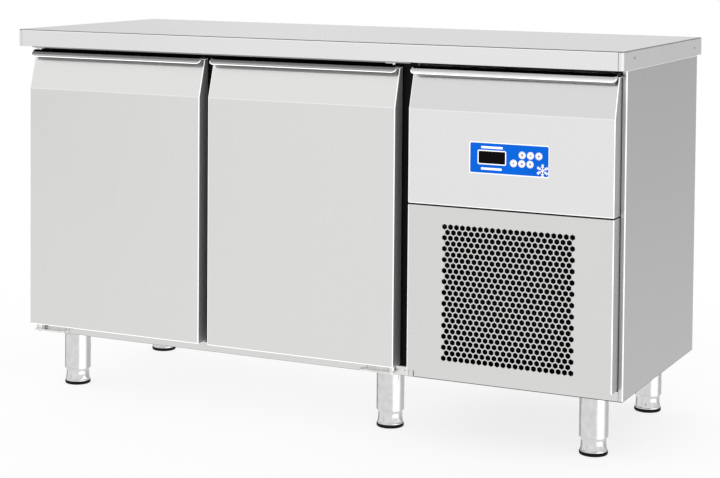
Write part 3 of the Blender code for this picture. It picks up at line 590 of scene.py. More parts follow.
def turned(name, profile, centre, axis="Z", steps=48):
    """A turned shape about an axis through its centre. The profile is (radius, height) points."""
    mesh = bmesh.new()
    spin = {"X": (1, 0, 0), "Y": (0, 1, 0), "Z": (0, 0, 1)}[axis]
    across = (0, 0, 1) if axis == "X" else (1, 0, 0)
    rim = [mesh.verts.new(Vector(across) * radius + Vector(spin) * height) for radius, height in profile]
    edges = [mesh.edges.new(pair) for pair in zip(rim, rim[1:])]
    if profile[0][0] > 0:
        edges.append(mesh.edges.new((rim[-1], rim[0])))
    bmesh.ops.spin(
        mesh, geom=rim + edges, axis=spin, cent=(0, 0, 0), steps=steps, angle=2 * math.pi, use_merge=True
    )
    bmesh.ops.remove_doubles(mesh, verts=mesh.verts, dist=1e-6)
    bmesh.ops.translate(mesh, verts=mesh.verts, vec=centre)
    return as_object(name, mesh)


def bent(points, radius, steps=10):
    """The same path with each inner corner rounded off."""
    corners = [Vector(point) for point in points]
    path = [corners[0]]
    for before, corner, after in zip(corners, corners[1:], corners[2:]):
        start = corner + (before - corner).normalized() * radius
        end = corner + (after - corner).normalized() * radius
        for step in range(steps + 1):
            t = step / steps
            path.append(start * (1 - t) ** 2 + corner * 2 * t * (1 - t) + end * t**2)
    return path + [corners[-1]]


def dome(mesh, centre, outward, radius, height, segments=20, rings=4):
    """A low round head, such as a rivet's, on a mesh that is being built."""
    turn = Vector(outward).to_track_quat("Z", "Y").to_matrix().to_4x4()
    placing = Matrix.Translation(centre) @ turn
    loops = []
    for ring in range(rings):
        lift = math.pi / 2 * ring / rings
        points = circle((0, 0), radius * math.cos(lift), segments)
        loops.append([mesh.verts.new(placing @ Vector((x, y, height * math.sin(lift)))) for x, y in points])
    tip = mesh.verts.new(placing @ Vector((0, 0, height)))
    for here, after in zip(range(segments), [*range(1, segments), 0]):
        for low, high in zip(loops, loops[1:]):
            mesh.faces.new((low[here], low[after], high[after], high[here]))
        mesh.faces.new((loops[-1][here], loops[-1][after], tip))
    mesh.faces.new(loops[0][::-1])


def joint_place(name):
    return Vector(next(joint for joint in frame["joints"] if joint["name"] == name)["pos_m"])


# Worktop


def worktop():
    """The pressed top: a soft edge all round, dark below, and a seat for each end cap."""
    foot, lip = 0.0012, 0.0045
    radii = (TOP_CORNER, TOP_CORNER, 0.003, 0.003)

    def ring(inset, z):
        return [(x, y, z) for x, y in rounded((-HALF, HALF), (FRONT, BACK), radii, inset)]

    # Front faces painted lighter, the upper edge painted dark, folds with a painted highlight, the top in its own
    # tone
    front, edge, under, fold, face_up = range(5)

    def finish(face):
        if face.normal.z < -0.9:
            return under
        if face.normal.z > 0.98:
            return face_up
        if face.center.z > HEIGHT - TOP_ROUND:
            return edge if face.normal.z > 0.30 else fold
        return front

    rings = [ring(lip, TOP_UNDER + 0.0010), ring(lip, TOP_UNDER), ring(foot, TOP_UNDER)]
    for a in (0.5, 1.0, math.pi / 2):
        rings.append(ring(foot - foot * math.sin(a), TOP_UNDER + foot - foot * math.cos(a)))
    for y, z in arc((TOP_ROUND, HEIGHT - TOP_ROUND), TOP_ROUND, 180, 90):
        rings.append(ring(y, z))
    top = finish_by(loft("worktop_sheet", rings), finish)
    seats = []
    for side, word in ((-1, "left"), (1, "right")):
        seat = cap_plan(side, 0.0013, 0.0117, 0.002)
        cutter = plate(f"seat_{word}", [seat], TOP_UNDER - 0.002, HEIGHT - 0.0024, "Z")
        seats.append(finish_by(cutter, lambda face: under))
    finishes = (TOP_FRONT_PAINTED_LIGHTER, TOP_EDGE_PAINTED_DARK, DARK_UNDERSIDE, FOLD_PAINTED_HIGHLIGHT, TOP_FACE_STEEL)
    show(combined(top, seats), finishes, "worktop", sharp=30)


def cap_plan(side, inner, reach, outer=0.0):
    """Plan of the strip round a worktop end, from inner under the edge to outer past it.

    It reaches in along the front. A strip that stays inside the edge keeps a thin skin off it.
    """
    skin = 0.0 if outer else 0.0005
    centre, start, end = (HALF - TOP_CORNER, FRONT + TOP_CORNER), HALF - reach, BACK + outer
    inside = [(start, FRONT + inner), *arc(centre, TOP_CORNER - inner, -90, 0, 10), (HALF - inner, end)]
    outside = [(HALF + outer - skin, end), *arc(centre, TOP_CORNER + outer - skin, 0, -90, 10)]
    return [(side * x, y) for x, y in [*inside, *outside, (start, FRONT - outer + skin)]]


def end_caps():
    """The sheet over each end of the top, held by two rivets."""
    for side, word in ((-1, "left"), (1, "right")):
        plan = cap_plan(side, 0.0010, 0.0108)
        cap = plate(f"end_cap_sheet_{word}", [plan], TOP_UNDER + 0.0002, HEIGHT - 0.0027, "Z")
        # The cap is painted lighter; its front takes the worktop front's painted-lighter finish
        finish_by(cap, lambda face: int(face.normal.y < -0.7))
        show(cap, (CAP_PAINTED_LIGHTER, TOP_FRONT_PAINTED_LIGHTER), f"end_cap_{word}", sharp=50)
        rivets = bmesh.new()
        for y, z in ((FRONT + 0.078, HEIGHT - 0.017), (BACK - 0.059, HEIGHT - 0.022)):
            dome(rivets, (side * (HALF - 0.0006), y, z), (side, 0, 0), 0.0034, 0.0006)
        show(as_object(f"end_cap_rivets_{word}", rivets), RIVET_STEEL)


# Outer body


def side_panels():
    for word, open_side in (("left", "+X"), ("right", "-X")):
        sheet = folded_pan(f"side_sheet_{word}", *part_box(f"side_panel_{word}"), open_side)
        # Folds with a painted highlight, and painted shade underneath
        show(paint_underside_shade(sheet), (SIDE_STEEL, FOLD_PAINTED_HIGHLIGHT, UNDERSIDE_PAINTED_SHADE), f"side_panel_{word}")


def louvre(mesh, x_span, top, y):
    """One pressed hood: it leaves the sheet at its top and stands open below."""
    across, down, drop, reach = 28, 6, 0.0115, 0.0058
    grid = []
    for column in range(across + 1):
        u = -math.cos(math.pi * column / across)
        swell = max(0.0, 1 - abs(u) ** 6) ** 0.5
        x = (x_span[0] + x_span[1]) / 2 + u * (x_span[1] - x_span[0]) / 2
        lifts = [(t / down, reach * math.sin(math.pi / 2 * t / down) * swell) for t in range(down + 1)]
        grid.append([mesh.verts.new((x, y + lift, top - drop * t)) for t, lift in lifts])
    skinned(mesh, grid)


def back_panel():
    """The rear sheet with its outlet hoods, the cable's grommet and the screws round its edge."""
    low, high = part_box("back_panel")
    panel = applied(folded_pan("rear_sheet", low, high, "-Y"))
    slot_x, slot_height, pitch, first, count = (0.340, 0.660), 0.008, 0.024, 0.500, 10
    bottoms = [first + n * pitch for n in range(count)]
    slots = [rounded(slot_x, (z, z + slot_height), 0.0035, steps=4) for z in bottoms]
    through = (high.y - 0.004, high.y + 0.004)
    grommet_hole = [circle((CABLE_X, CABLE_Z), 0.006)]
    cutters = [plate("slots", slots, *through), plate("grommet_hole", grommet_hole, *through)]
    show(combined(panel, cutters), (ZINC, ZINC), "back_panel", sharp=30)
    hoods = bmesh.new()
    for z in bottoms:
        louvre(hoods, (slot_x[0] - 0.003, slot_x[1] + 0.003), z + slot_height + 0.0045, high.y - 0.0002)
    bmesh.ops.remove_doubles(hoods, verts=hoods.verts, dist=1e-6)
    hoods = thickened(as_object("outlet_hoods", hoods), 0.0008, 1)
    show(hoods, ZINC, sharp=60, weighted=False)
    screws = bmesh.new()
    inset = 0.014
    span = high.x - low.x - 2 * inset
    places = [(low.x + inset + n * span / 6, z) for n in range(7) for z in (low.z + inset, high.z - inset)]
    places += [(x, z) for x in (low.x + inset, high.x - inset) for z in (0.31, 0.48, 0.65)]
    for x, z in places:
        dome(screws, (x, high.y, z), (0, 1, 0), 0.0042, 0.0022)
    show(as_object("rear_screws", screws), PIN_STEEL)
    grommet = [(0.0041, -0.0025), (0.0041, 0.0030), (0.0060, 0.0036), (0.0088, 0.0020), (0.0088, 0.0003)]
    grommet += [(0.0058, 0.0003), (0.0058, -0.0025)]
    show(turned("cable_grommet", grommet, (CABLE_X, high.y, CABLE_Z), "Y"), BLACK)


def front_frame():
    """The frame round both door openings, the strip over the doors and the rail that carries the hinges."""
    low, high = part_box("front_frame")
    lap, opening_z = 0.033, (0.187, 0.777)
    loops = [rounded((low.x, high.x), (low.z + 0.0005, high.z), 0.0005, steps=1)]
    for word in ("left", "right"):
        door_low, door_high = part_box(f"{word}_door_liner")
        loops.append(rounded((door_low.x + lap, door_high.x - lap), opening_z, 0.006))
    show(plate("opening_frame", loops, FRAME_FRONT, high.y), FRAME_BLACK, "front_frame", sharp=40)
    strip_low, strip_high = (low.x, FRONT + 0.0120, 0.8168), (high.x, FRONT + 0.0135, TOP_UNDER - GAP)
    # The strip over the doors is in painted shade
    show(soft_box("head_strip", strip_low, strip_high, 0.0003, 2), WALL_PAINTED_SHADE)
    top, face, back, fold, wall = 0.156, low.y, FRAME_FRONT - GAP, 0.003, 0.0012
    centre = (face + fold, top - fold)
    section = [(back, top - wall), (back, top), *arc(centre, fold, 90, 180)]
    section += arc((face + 0.0015, low.z + 0.0015), 0.0015, 180, 270, 4)
    section += [(back, low.z), (back, low.z + wall), (face + 0.0016, low.z + wall)]
    section += arc(centre, fold - wall, 180, 90)
    # Folds with a painted highlight, and painted shade underneath
    rail = paint_underside_shade(plate("bottom_rail", [section], low.x, high.x, "X"))
    show(rail, (STEEL_X, FOLD_PAINTED_HIGHLIGHT, UNDERSIDE_PAINTED_SHADE), sharp=30)


# Doors and the two machine-bay fronts


def front_skin(name, x_span, bottom, back, band_low):
    """A folded front, open behind: flat, then leaning back from the crease to its top.

    Faces take the front's finish, the folds' painted highlight, the side walls' painted shade, the band's
    painted reflection of the lip's underside from band_low up, the lean's and the crease's painted highlight.
    """
    top_y = FACE + LEAN * (DOOR_TOP - CREASE_Z)
    section = [(back, bottom), (FACE, bottom), (FACE, CREASE_Z), (top_y, DOOR_TOP), (back, DOOR_TOP)]
    mesh = bmesh.new()
    ends = [[mesh.verts.new((x, y, z)) for y, z in section] for x in x_span]
    skinned(mesh, ends)
    for end in ends:
        mesh.faces.new(end)
    bmesh.ops.recalc_face_normals(mesh, faces=mesh.faces)
    joined = [edge for edge in mesh.edges if len(edge.link_faces) == 2]
    crease = [edge for edge in joined if all(abs(vert.co.z - CREASE_Z) < 1e-6 for vert in edge.verts)]
    fold_edges(mesh, [edge for edge in joined if edge not in crease], FOLD)
    crease = [edge for edge in mesh.edges if len(edge.link_faces) == 2 and crossing_crease(edge)]
    fold_edges(mesh, crease, 0.0011, 2)
    mark_band(mesh, x_span, band_low)
    mesh.normal_update()
    # Side walls take painted shade, and the crease's faces a painted highlight
    for face in mesh.faces:
        if abs(face.normal.x) > 0.95:
            face.material_index = PAINTED_SHADE
        elif face.material_index == FOLDS and all(crossing_crease(edge) for edge in longest_two(face)):
            face.material_index = CREASED
    # The lean takes its own finish, on the fascia painted darker
    for face in facing_front(mesh):
        if face.material_index == MAIN and face.calc_center_median().z > CREASE_Z:
            face.material_index = LEANING
    return applied(thickened(as_object(name, mesh), SHEET))


def mark_band(mesh, x_span, band_low):
    """Cut the band below the lip out of the lean, with slanting ends, and give it its painted reflection of the
    lip's underside.
    """
    inset, slant = 0.010, 0.55
    left, right = x_span[0] + inset, x_span[1] - inset
    cuts = [((0, 0, band_low), (0, 0, 1))]
    cuts += [((x, 0, band_low), (inward, 0, slant)) for x, inward in ((left, 1), (right, -1))]
    for spot, normal in cuts:
        high = [face for face in facing_front(mesh) if face.calc_center_median().z > band_low - 0.05]
        geometry = {item for face in high for item in (face, *face.edges, *face.verts)}
        bmesh.ops.bisect_plane(mesh, geom=list(geometry), dist=1e-7, plane_co=spot, plane_no=normal)
        mesh.normal_update()
    for face in facing_front(mesh):
        centre = face.calc_center_median()
        inside = all((centre - Vector(spot)).dot(normal) > 0 for spot, normal in cuts)
        if face.material_index == MAIN and inside:
            face.material_index = BAND


def facing_front(mesh):
    return [face for face in mesh.faces if face.normal.y < -0.5]


def longest_two(face):
    return sorted(face.edges, key=lambda edge: -edge.calc_length())[:2]


def crossing_crease(edge):
    """Whether an edge runs along the crease across the flat width of a front."""
    ends = [vert.co for vert in edge.verts]
    level = all(abs(end.z - CREASE_Z) < 0.004 for end in ends)
    return level and abs(ends[0].x - ends[1].x) > 0.1


def point_along(path, distance):
    """The point this far along a path."""
    for start, end in zip(path, path[1:]):
        length = (end - start).length
        if distance <= length:
            return start.lerp(end, distance / length)
        distance -= length
    return path[-1]


def lip_path():
    """Outer side of the lip in (depth, height): up behind the lean, over, and down in front of it."""
    start, end, bulge = Vector((0.0185, 0.8120)), Vector((0.0022, 0.7968)), 0.0016
    normal = Vector((end.y - start.y, start.x - end.x)).normalized()
    shares = [n / 12 for n in range(13)]
    band = [start.lerp(end, share) + normal * bulge * 4 * share * (1 - share) for share in shares]
    turn = [Vector(point) for point in arc((0.0266, 0.8096), 0.0024, 0, 90, 4)]
    return [Vector((0.0290, 0.8050)), *turn, *band]


def lip(name, x_span, body, finish):
    """The pull along the top of a front: a rolled sheet with round lower corners and a hemmed edge."""
    inset, corner, rows, painted_shade_rows = 0.0014, 0.009, 26, 17
    path = lip_path()
    total = sum((end - start).length for start, end in zip(path, path[1:]))
    turns = [math.pi / 2 * n / 8 for n in range(9)]
    near = [(inset + corner * (1 - math.cos(a)), a) for a in turns]
    columns = [(x_span[0] + d, a) for d, a in near] + [(x_span[1] - d, a) for d, a in near[::-1]]
    mesh = bmesh.new()
    grid, hem = [], []
    for x, a in columns:
        reach = total - corner * (1 - math.sin(a))
        points = [point_along(path, reach * row / rows) for row in range(rows + 1)]
        places = [Vector((x, FRONT + point.x, point.y)) for point in points]
        grid.append([mesh.verts.new(place) for place in places])
        hem.append(places[-1])
    # The upper rows take painted shade
    for row, face in skinned(mesh, grid):
        face.material_index = PAINTED_SHADE if row < painted_shade_rows else MAIN
    turn_outward(mesh, min(mesh.faces, key=lambda face: face.calc_center_median().y), Vector((0, 0, 1)))
    sheet = thickened(as_object(name, as_data(name, mesh)), SHEET)
    # The next finish, on the inner side, is painted shade
    sheet.modifiers["sheet"].material_offset = 1  # the inner side takes the next finish
    show(sheet, (finish, LIP_UNDERSIDE_PAINTED_SHADE, LIP_TOP_PAINTED_SHADE, LIP_UNDERSIDE_PAINTED_SHADE), body=body, sharp=50, weighted=False)
    # The hem wire carries a painted highlight
    inward = Vector((0, 0.0007, 0.0002))
    edge = wire(f"{name}_hem", [[point + inward for point in hem]], 0.0008)
    show(edge, HEM_PAINTED_HIGHLIGHT, body=body, sharp=60, weighted=False)


def turn_outward(mesh, face, direction):
    """Faces that agree with each other, turned so that this one looks towards the direction."""
    bmesh.ops.recalc_face_normals(mesh, faces=mesh.faces)
    if face.normal.dot(direction) < 0:
        bmesh.ops.reverse_faces(mesh, faces=mesh.faces)


def pressed_liner(name, node):
    """A door's inner sheet: a flat rim, a step, and a raised panel with wide soft corners and a groove."""
    low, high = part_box(node)
    rim, top, margin, raised = low.y + SHEET, high.y, 0.029, 0.033
    spans = (low.x, high.x), (low.z, high.z)
    steps = [(0.0, rim, 0.002), (margin - 0.002, rim, 0.012), (margin, rim + 0.002, 0.014)]
    steps += [(raised - 0.002, top - 0.002, 0.016), (raised, top, 0.018), (raised + 0.016, top, 0.030)]
    steps += [(raised + 0.0175, top - 0.0015, 0.030), (raised + 0.024, top - 0.0015, 0.034)]
    steps += [(raised + 0.0255, top, 0.034)]
    rings = [standing(rounded(*spans, radius + inset, inset), y) for inset, y, radius in steps]
    obj = loft(name, rings, ends=False)
    mesh = bmesh.new()
    mesh.from_mesh(obj.data)

    def well_inside(place):
        return low.x + 0.02 < place.x < high.x - 0.02 and low.z + 0.02 < place.z < high.z - 0.02

    inner = [edge for edge in mesh.edges if edge.is_boundary and well_inside(edge.verts[0].co)]
    bmesh.ops.contextual_create(mesh, geom=inner)
    turn_outward(mesh, max(mesh.faces, key=lambda face: face.calc_area()), Vector((0, 1, 0)))
    mesh.to_mesh(obj.data)
    mesh.free()
    show(thickened(obj, 0.0008), LINER_STEEL, node, sharp=40)


def gasket(name, node):
    """A door seal: a plug strip, folded bellows and a soft magnet bulb, with mitred corners.

    The section is (inset, share of the depth) points.
    """
    low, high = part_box(node)
    section = [
        (0.0020, 0.00), (0.0008, 0.16), (0.0022, 0.30), (0.0006, 0.44), (0.0, 0.60), (0.0002, 0.82),
        (0.0014, 0.96), (0.0034, 1.0), (0.0100, 1.0), (0.0126, 0.95), (0.0137, 0.82), (0.0140, 0.62),
        (0.0128, 0.48), (0.0112, 0.36), (0.0128, 0.22), (0.0118, 0.0),
    ]
    rings = []
    for inset, share in section:
        outline = rounded((low.x, high.x), (low.z, high.z), 0.0145, inset, 8)
        rings.append(standing(outline, low.y + (high.y - low.y) * share))
    show(loft(name, rings, closed=True), RUBBER, node, sharp=70, weighted=False)


def hinge(word, side):
    """The bracket and pin above a door, and the longer bracket, bush and pin below it."""
    x, y, _ = joint_place(f"{word}_door_hinge")
    corners = (0.004, 0.004, 0.0004, 0.0004)
    for place in ("top", "bottom"):
        node = f"{word}_hinge_{place}"
        low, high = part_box(node)
        if place == "top":
            base, tip, reach, thick = 0.795, 0.8165, 0.017, 0.0024
            plate_z, flange_z = (0.8155, high.z), (0.800, high.z)
        else:
            base, tip, reach, thick = 0.1445, 0.172, 0.072, 0.002
            plate_z, flange_z = (0.141, 0.145), (low.z, 0.1545)
        across = sorted((x + side * 0.008, x - side * reach))
        flange_front = high.y - thick
        arm = plate(f"{node}_arm", [rounded(across, (low.y, high.y), corners, steps=5)], *plate_z, "Z")
        flange = [rounded((low.x, high.x), flange_z, 0.0008, steps=3)]
        parts = [plate(f"{node}_flange", flange, flange_front, high.y)]
        pin = [(0.0, tip), (0.0034, tip), (0.0040, tip - 0.0006)]
        turnings = [[*pin, (0.0040, base + 0.0006), (0.0034, base), (0.0, base)]]
        if place == "bottom":
            turnings.append([(0.0, 0.1572), (0.0065, 0.1572), (0.0065, 0.1440), (0.0, 0.1440)])
            turnings.append(
                [(0.0, 0.1425), (0.0055, 0.1425), (0.0062, 0.1395), (0.0045, 0.1372), (0.0, 0.1365)]
            )
        parts += [turned(f"{node}_turning", profile, (x, y, 0.0), "Z", 32) for profile in turnings]
        bracket = combined(arm, parts, "UNION")
        finish_by(bracket, lambda face: int(place == "top" and face.center.y > flange_front - 0.0002))
        show(bracket, (PIN_STEEL, FRAME_BLACK), node)
        if place == "bottom":
            screws = bmesh.new()
            for spot in (low.x + 0.007, high.x - 0.007):
                dome(screws, (spot, flange_front, sum(flange_z) / 2), (0, -1, 0), 0.0030, 0.0014)
            show(as_object(f"{node}_screws", screws), PIN_STEEL)


def doors():
    for word, side in (("left", -1), ("right", 1)):
        low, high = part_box(f"{word}_door_shell")
        pivot = joint_place(f"{word}_door_hinge")
        skin = front_skin(f"{word}_door_skin", (low.x, high.x), low.z, DOOR_BACK, 0.7868)
        if word == "left":
            paint_left_fold_shade(skin)
        outline = [circle(pivot[:2], 0.0044, 24)]
        holes = [plate("pin_hole", outline, *span, "Z") for span in ((0.148, 0.176), (0.792, 0.820))]
        show(combined(skin, holes), DOOR_FINISHES, f"{word}_door_shell", sharp=28)
        lip(f"{word}_door_lip", (low.x, high.x), f"{word}_door", DOOR_LIP_PAINTED_SHADE)
        pressed_liner(f"{word}_door_inner_sheet", f"{word}_door_liner")
        gasket(f"{word}_door_seal", f"{word}_door_gasket")
        hinge(word, side)


def paint_left_fold_shade(skin):
    """The fold at the outer end of the row of doors, in the side walls' painted shade instead of a fold's painted
    highlight.
    """

    def rule(face):
        outer_fold = face.material_index == FOLDS and face.normal.x < -0.3
        return PAINTED_SHADE if outer_fold else face.material_index

    finish_by(skin, rule)


def key_centres():
    for number in range(1, 7):
        low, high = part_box(f"button_{number}")
        yield number, (low.x + high.x) / 2, (low.z + high.z) / 2


def key_holes(radius):
    return [circle((x, z), radius) for _, x, z in key_centres()]


def display_outline(inset=0.0, steps=3):
    return rounded(DISPLAY_X, DISPLAY_Z, DISPLAY_CORNER, inset, steps)


def fascia():
    """The leaning front over the controls, cut for the display and the keys."""
    low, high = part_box("control_fascia")
    skin = front_skin("fascia_skin", (low.x, high.x), low.z, high.y, 0.7905)
    holes = [display_outline(-0.0003), *key_holes(KEY_HOLE + 0.0001)]
    cutter = plate("control_holes", holes, FACE - 0.001, FACE + 0.003)
    show(combined(skin, [cutter]), FASCIA_FINISHES, "control_fascia", sharp=28)
    lip("fascia_lip", (low.x, high.x), BODY, FASCIA_LIP_PAINTED)


def snowflake(centre, reach, width):
    """Bars of a plain six-armed flake, with two pairs of barbs on each arm."""

    def heading(degrees):
        return Vector((math.cos(math.radians(degrees)), math.sin(math.radians(degrees))))

    bars = []
    for turn in range(90, 450, 60):
        bars.append((centre, centre + heading(turn) * reach))
        for share in (0.45, 0.72):
            fork = centre + heading(turn) * reach * share
            bars += [(fork, fork + heading(turn + swing) * reach * 0.26) for swing in (-50, 50)]
    for start, end in bars:
        across = (end - start).normalized().orthogonal() * width / 2
        yield [start - across, start + across, end + across, end - across]


def film():
    """The printed film with its borders, two stripes and a flake, and the display window."""
    low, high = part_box("keypad_overlay")
    spans, front = ((low.x, high.x), (low.z, high.z)), low.y

    def printed(name, loops):
        show(plate(name, loops, front - PRINT, front), PRINT_WHITE, weighted=False)

    loops = [rounded(*spans, 0.005), display_outline(), *key_holes(KEY_HOLE)]
    show(plate("control_film", loops, front, high.y), BLUE, "keypad_overlay", weighted=False)
    printed("film_border", [rounded(*spans, 0.005), rounded(*spans, 0.005, 0.0021)])
    printed("display_border", [display_outline(-0.0022, 6), display_outline()])
    for percent, x_share, z_share in ((80, (0.15, 0.42), (0.80, 0.87)), (13, (0.15, 0.41), (0.13, 0.20))):
        x_span = [low.x + (high.x - low.x) * share for share in x_share]
        z_span = [low.z + (high.z - low.z) * share for share in z_share]
        printed(f"film_stripe_{percent}", [rounded(x_span, z_span, 0.0006, steps=3)])
    flake = bmesh.new()
    for bar in snowflake(Vector((high.x - 0.0150, low.z + 0.0145)), 0.0138, 0.0019):
        flake.faces.new([flake.verts.new((x, front - PRINT / 2, z)) for x, z in bar])
    show(thickened(as_object("cold_mark", flake), PRINT, 0), PRINT_WHITE, weighted=False)
    for number, x, z in key_centres():
        printed(f"key_border_{number}", [circle((x, z), 0.0078), circle((x, z), KEY_HOLE)])
    glass = display_block("display_glass", (front + 0.0003, front + 0.006), 0.0003, 0.0004, 2)
    show(glass, SCREEN)


def display_block(name, y_span, inset, radius, segments):
    """A soft block the size of the display's opening, a little smaller all round."""
    corners = zip((inset, -inset), y_span, DISPLAY_X, DISPLAY_Z)
    return soft_box(name, *[(x + inward, y, z + inward) for inward, y, x, z in corners], radius, segments)


def keys():
    """Six domed keys, each marked with a ring, a triangle or a diamond."""
    sides = {1: 3, 2: 24, 3: 4, 4: 24, 5: 3, 6: 4}
    radius, edge = 0.0065, 0.0009
    for number, x, z in key_centres():
        low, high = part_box(f"button_{number}")
        front = low.y
        profile = [(0.0, high.y), (radius, high.y), (radius, front + edge)]
        for a in (0.4, 0.8, 1.2):
            profile.append((radius - edge + edge * math.cos(a), front + edge - edge * math.sin(a)))
        profile += [(radius - edge, front), (radius * 0.55, front + 0.00025), (0.0, front + 0.0003)]
        cap = turned(f"key_cap_{number}", profile, (x, 0, z), "Y", 40)
        show(cap, KEY_WHITE, f"button_{number}", sharp=50)
        mark = [circle((x, z), 0.0024, sides[number], -90 if number == 5 else 90)]
        if sides[number] == 24:
            mark.append(circle((x, z), 0.0011, 24))
        mark = plate(f"key_mark_{number}", mark, front + 0.00005, front + 0.0003)
        show(mark, KEY_MARK, body=f"key_{number}", weighted=False)


def grille_panel():
    """The machine bay's lower front, with its field of small hexagons and its folded returns."""
    low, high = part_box("grille_panel")
    pitch, across, columns, rows, centre = 0.01354, 0.0110, 22, 25, (0.4995, 0.3335)
    holes = []
    for row in range(rows):
        count = columns - row % 2
        z = centre[1] + (row - (rows - 1) / 2) * pitch * math.sqrt(3) / 2
        for n in range(count):
            x = centre[0] + (n - (count - 1) / 2) * pitch
            holes.append(circle((x, z), across / math.sqrt(3), 6, 90))
    spans = (low.x, high.x), (low.z, high.z)
    flat = [(start + FOLD, end - FOLD) for start, end in spans]
    face = plate("grille_face", [rounded(*flat, 0.0, steps=1), *holes], low.y, low.y + SHEET)
    show(face, GRILLE_STEEL, "grille_panel", weighted=False)
    centre = (FOLD, low.y + FOLD)
    section = [*arc(centre, FOLD, -90, -180, 4), (0.0, high.y), (SHEET, high.y)]
    section += arc(centre, FOLD - SHEET, -180, -90, 4)
    rings = [standing(rounded(*spans, 0.0018, inset, 4), y) for inset, y in section]

    # Front-facing folds take a painted highlight, side walls painted shade
    def finish(face):
        if abs(face.normal.x) > 0.15 and face.normal.y < -0.15:
            return FOLDS
        return PAINTED_SHADE if abs(face.normal.x) > 0.95 else MAIN

    returns = finish_by(loft("grille_returns", rings, closed=True), finish)
    show(returns, (GRILLE_STEEL, FOLD_PAINTED_HIGHLIGHT, WALL_PAINTED_SHADE), sharp=40)


# Legs


def legs():
    """Bright tubes, each with a threaded foot: an eight-flat skirt over a black rubber pad."""
    for node in [name for name in frame["nodes"] if name.startswith("leg_tube_")]:
        word = node.removeprefix("leg_tube_")
        low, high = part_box(node)
        centre = ((low.x + high.x) / 2, (low.y + high.y) / 2, 0.0)
        leg_sleeve(word, centre, (high.x - low.x) / 2, low.z, high.z)
        levelling_foot(word, centre)


def leg_sleeve(word, centre, radius, bottom, top):
    wall = 0.0015
    profile = [(0.0, top), (radius - 0.0004, top), (radius, top - 0.0004), (radius, bottom + 0.0006)]
    profile += [(radius - 0.0006, bottom), (radius - wall, bottom)]
    profile += [(radius - wall, top - 0.002), (0.0, top - 0.002)]
    show(turned(f"leg_sleeve_{word}", profile, centre, steps=64), CHROME, f"leg_tube_{word}", sharp=40)


def levelling_foot(word, centre):
    """A waisted skirt whose lower part is planed to eight flats, with its stem, ring and pad."""
    flat_radius, first_deg, planed_top = 0.0276, 89.9, 0.0285
    skirt = [(0.0, 0.0390), (0.0292, 0.0390), (0.0292, 0.0372), (0.0286, 0.0358), (0.0277, 0.0337)]
    skirt += [(0.02715, 0.0322), (0.0270, 0.0305), (0.0270, 0.0262), (0.0272, 0.0215), (0.0279, 0.0165)]
    skirt += [(0.0288, 0.0125), (0.0292, 0.0105), (0.0, 0.0105)]
    ring = [(0.0, 0.0108), (0.0288, 0.0108), (0.0294, 0.0100)]
    ring += [(0.0294, 0.0078), (0.0288, 0.0072), (0.0, 0.0072)]
    stem = [(0.0, 0.085), (0.0280, 0.085), (0.0285, 0.0844), (0.0285, 0.0380), (0.0, 0.0380)]
    pad = [(0.0, 0.0074), (0.0300, 0.0074), (0.0305, 0.0068)]
    pad += [(0.0305, 0.0022), (0.0296, 0.0006), (0.0286, 0.0), (0.0, 0.0)]
    octagon = circle(centre[:2], flat_radius / math.cos(math.pi / 8), 8, first_deg)
    flats = plate("flats", [octagon], -0.01, planed_top, "Z")
    above = plate("above", [circle(centre[:2], 0.040, 24)], planed_top - 0.0001, 0.06, "Z")
    foot = turned(f"levelling_foot_{word}", skirt, centre, steps=64)
    combined(foot, [combined(flats, [above], "UNION")], "INTERSECT")
    combined(foot, [turned("part", profile, centre, steps=64) for profile in (ring, stem)], "UNION")
    show(foot, CHROME, f"adjustable_foot_{word}", sharp=20)
    rubber = turned(f"rubber_pad_{word}", pad, centre, steps=64)
    show(rubber, FOOT_RUBBER, body=f"foot_{word}", sharp=50)


# Cold cabinet


def tank():
    """The liner of the cold space, with coved corners and a round hole for the suction line."""
    low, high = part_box("inner_liner")
    liner = applied(folded_pan("tank", low, high, "-Y", 0.012, 6))
    hole = circle((LINE_Y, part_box("suction_line")[1].z - LINE_RADIUS), 0.0065, 24)
    liner = combined(liner, [plate("line_hole", [hole], high.x - 0.02, high.x + 0.02, "X")])
    show(liner, (LINER_STEEL, LINER_STEEL), "inner_liner")


def shelf(word):
    """A welded wire shelf: a rim, bars from front to back, and a cross rod under them."""
    low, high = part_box(f"shelf_{word}")
    rim, bar, rod = 0.0020, 0.0015, 0.00125
    middle, under, top = (low + high) / 2, low.z + rod, high.z - bar
    outline = [(x, y, middle.z) for x, y in rounded((low.x, high.x), (low.y, high.y), 0.012, rim)]
    count = round((high.x - low.x) / 0.0245)
    places = [low.x + rim + (high.x - low.x - 2 * rim) * n / count for n in range(1, count)]
    bars = [[(x, low.y + rim, top), (x, high.y - rim, top)] for x in places]
    parts = [
        wire("rim", [outline], rim, cyclic=True),
        wire("bars", bars, bar),
        wire("rod", [[(low.x + rim, middle.y, under), (high.x - rim, middle.y, under)]], rod),
    ]
    show(merged(f"wire_shelf_{word}", parts), CHROME_WIRE, f"shelf_{word}", sharp=60, weighted=False)


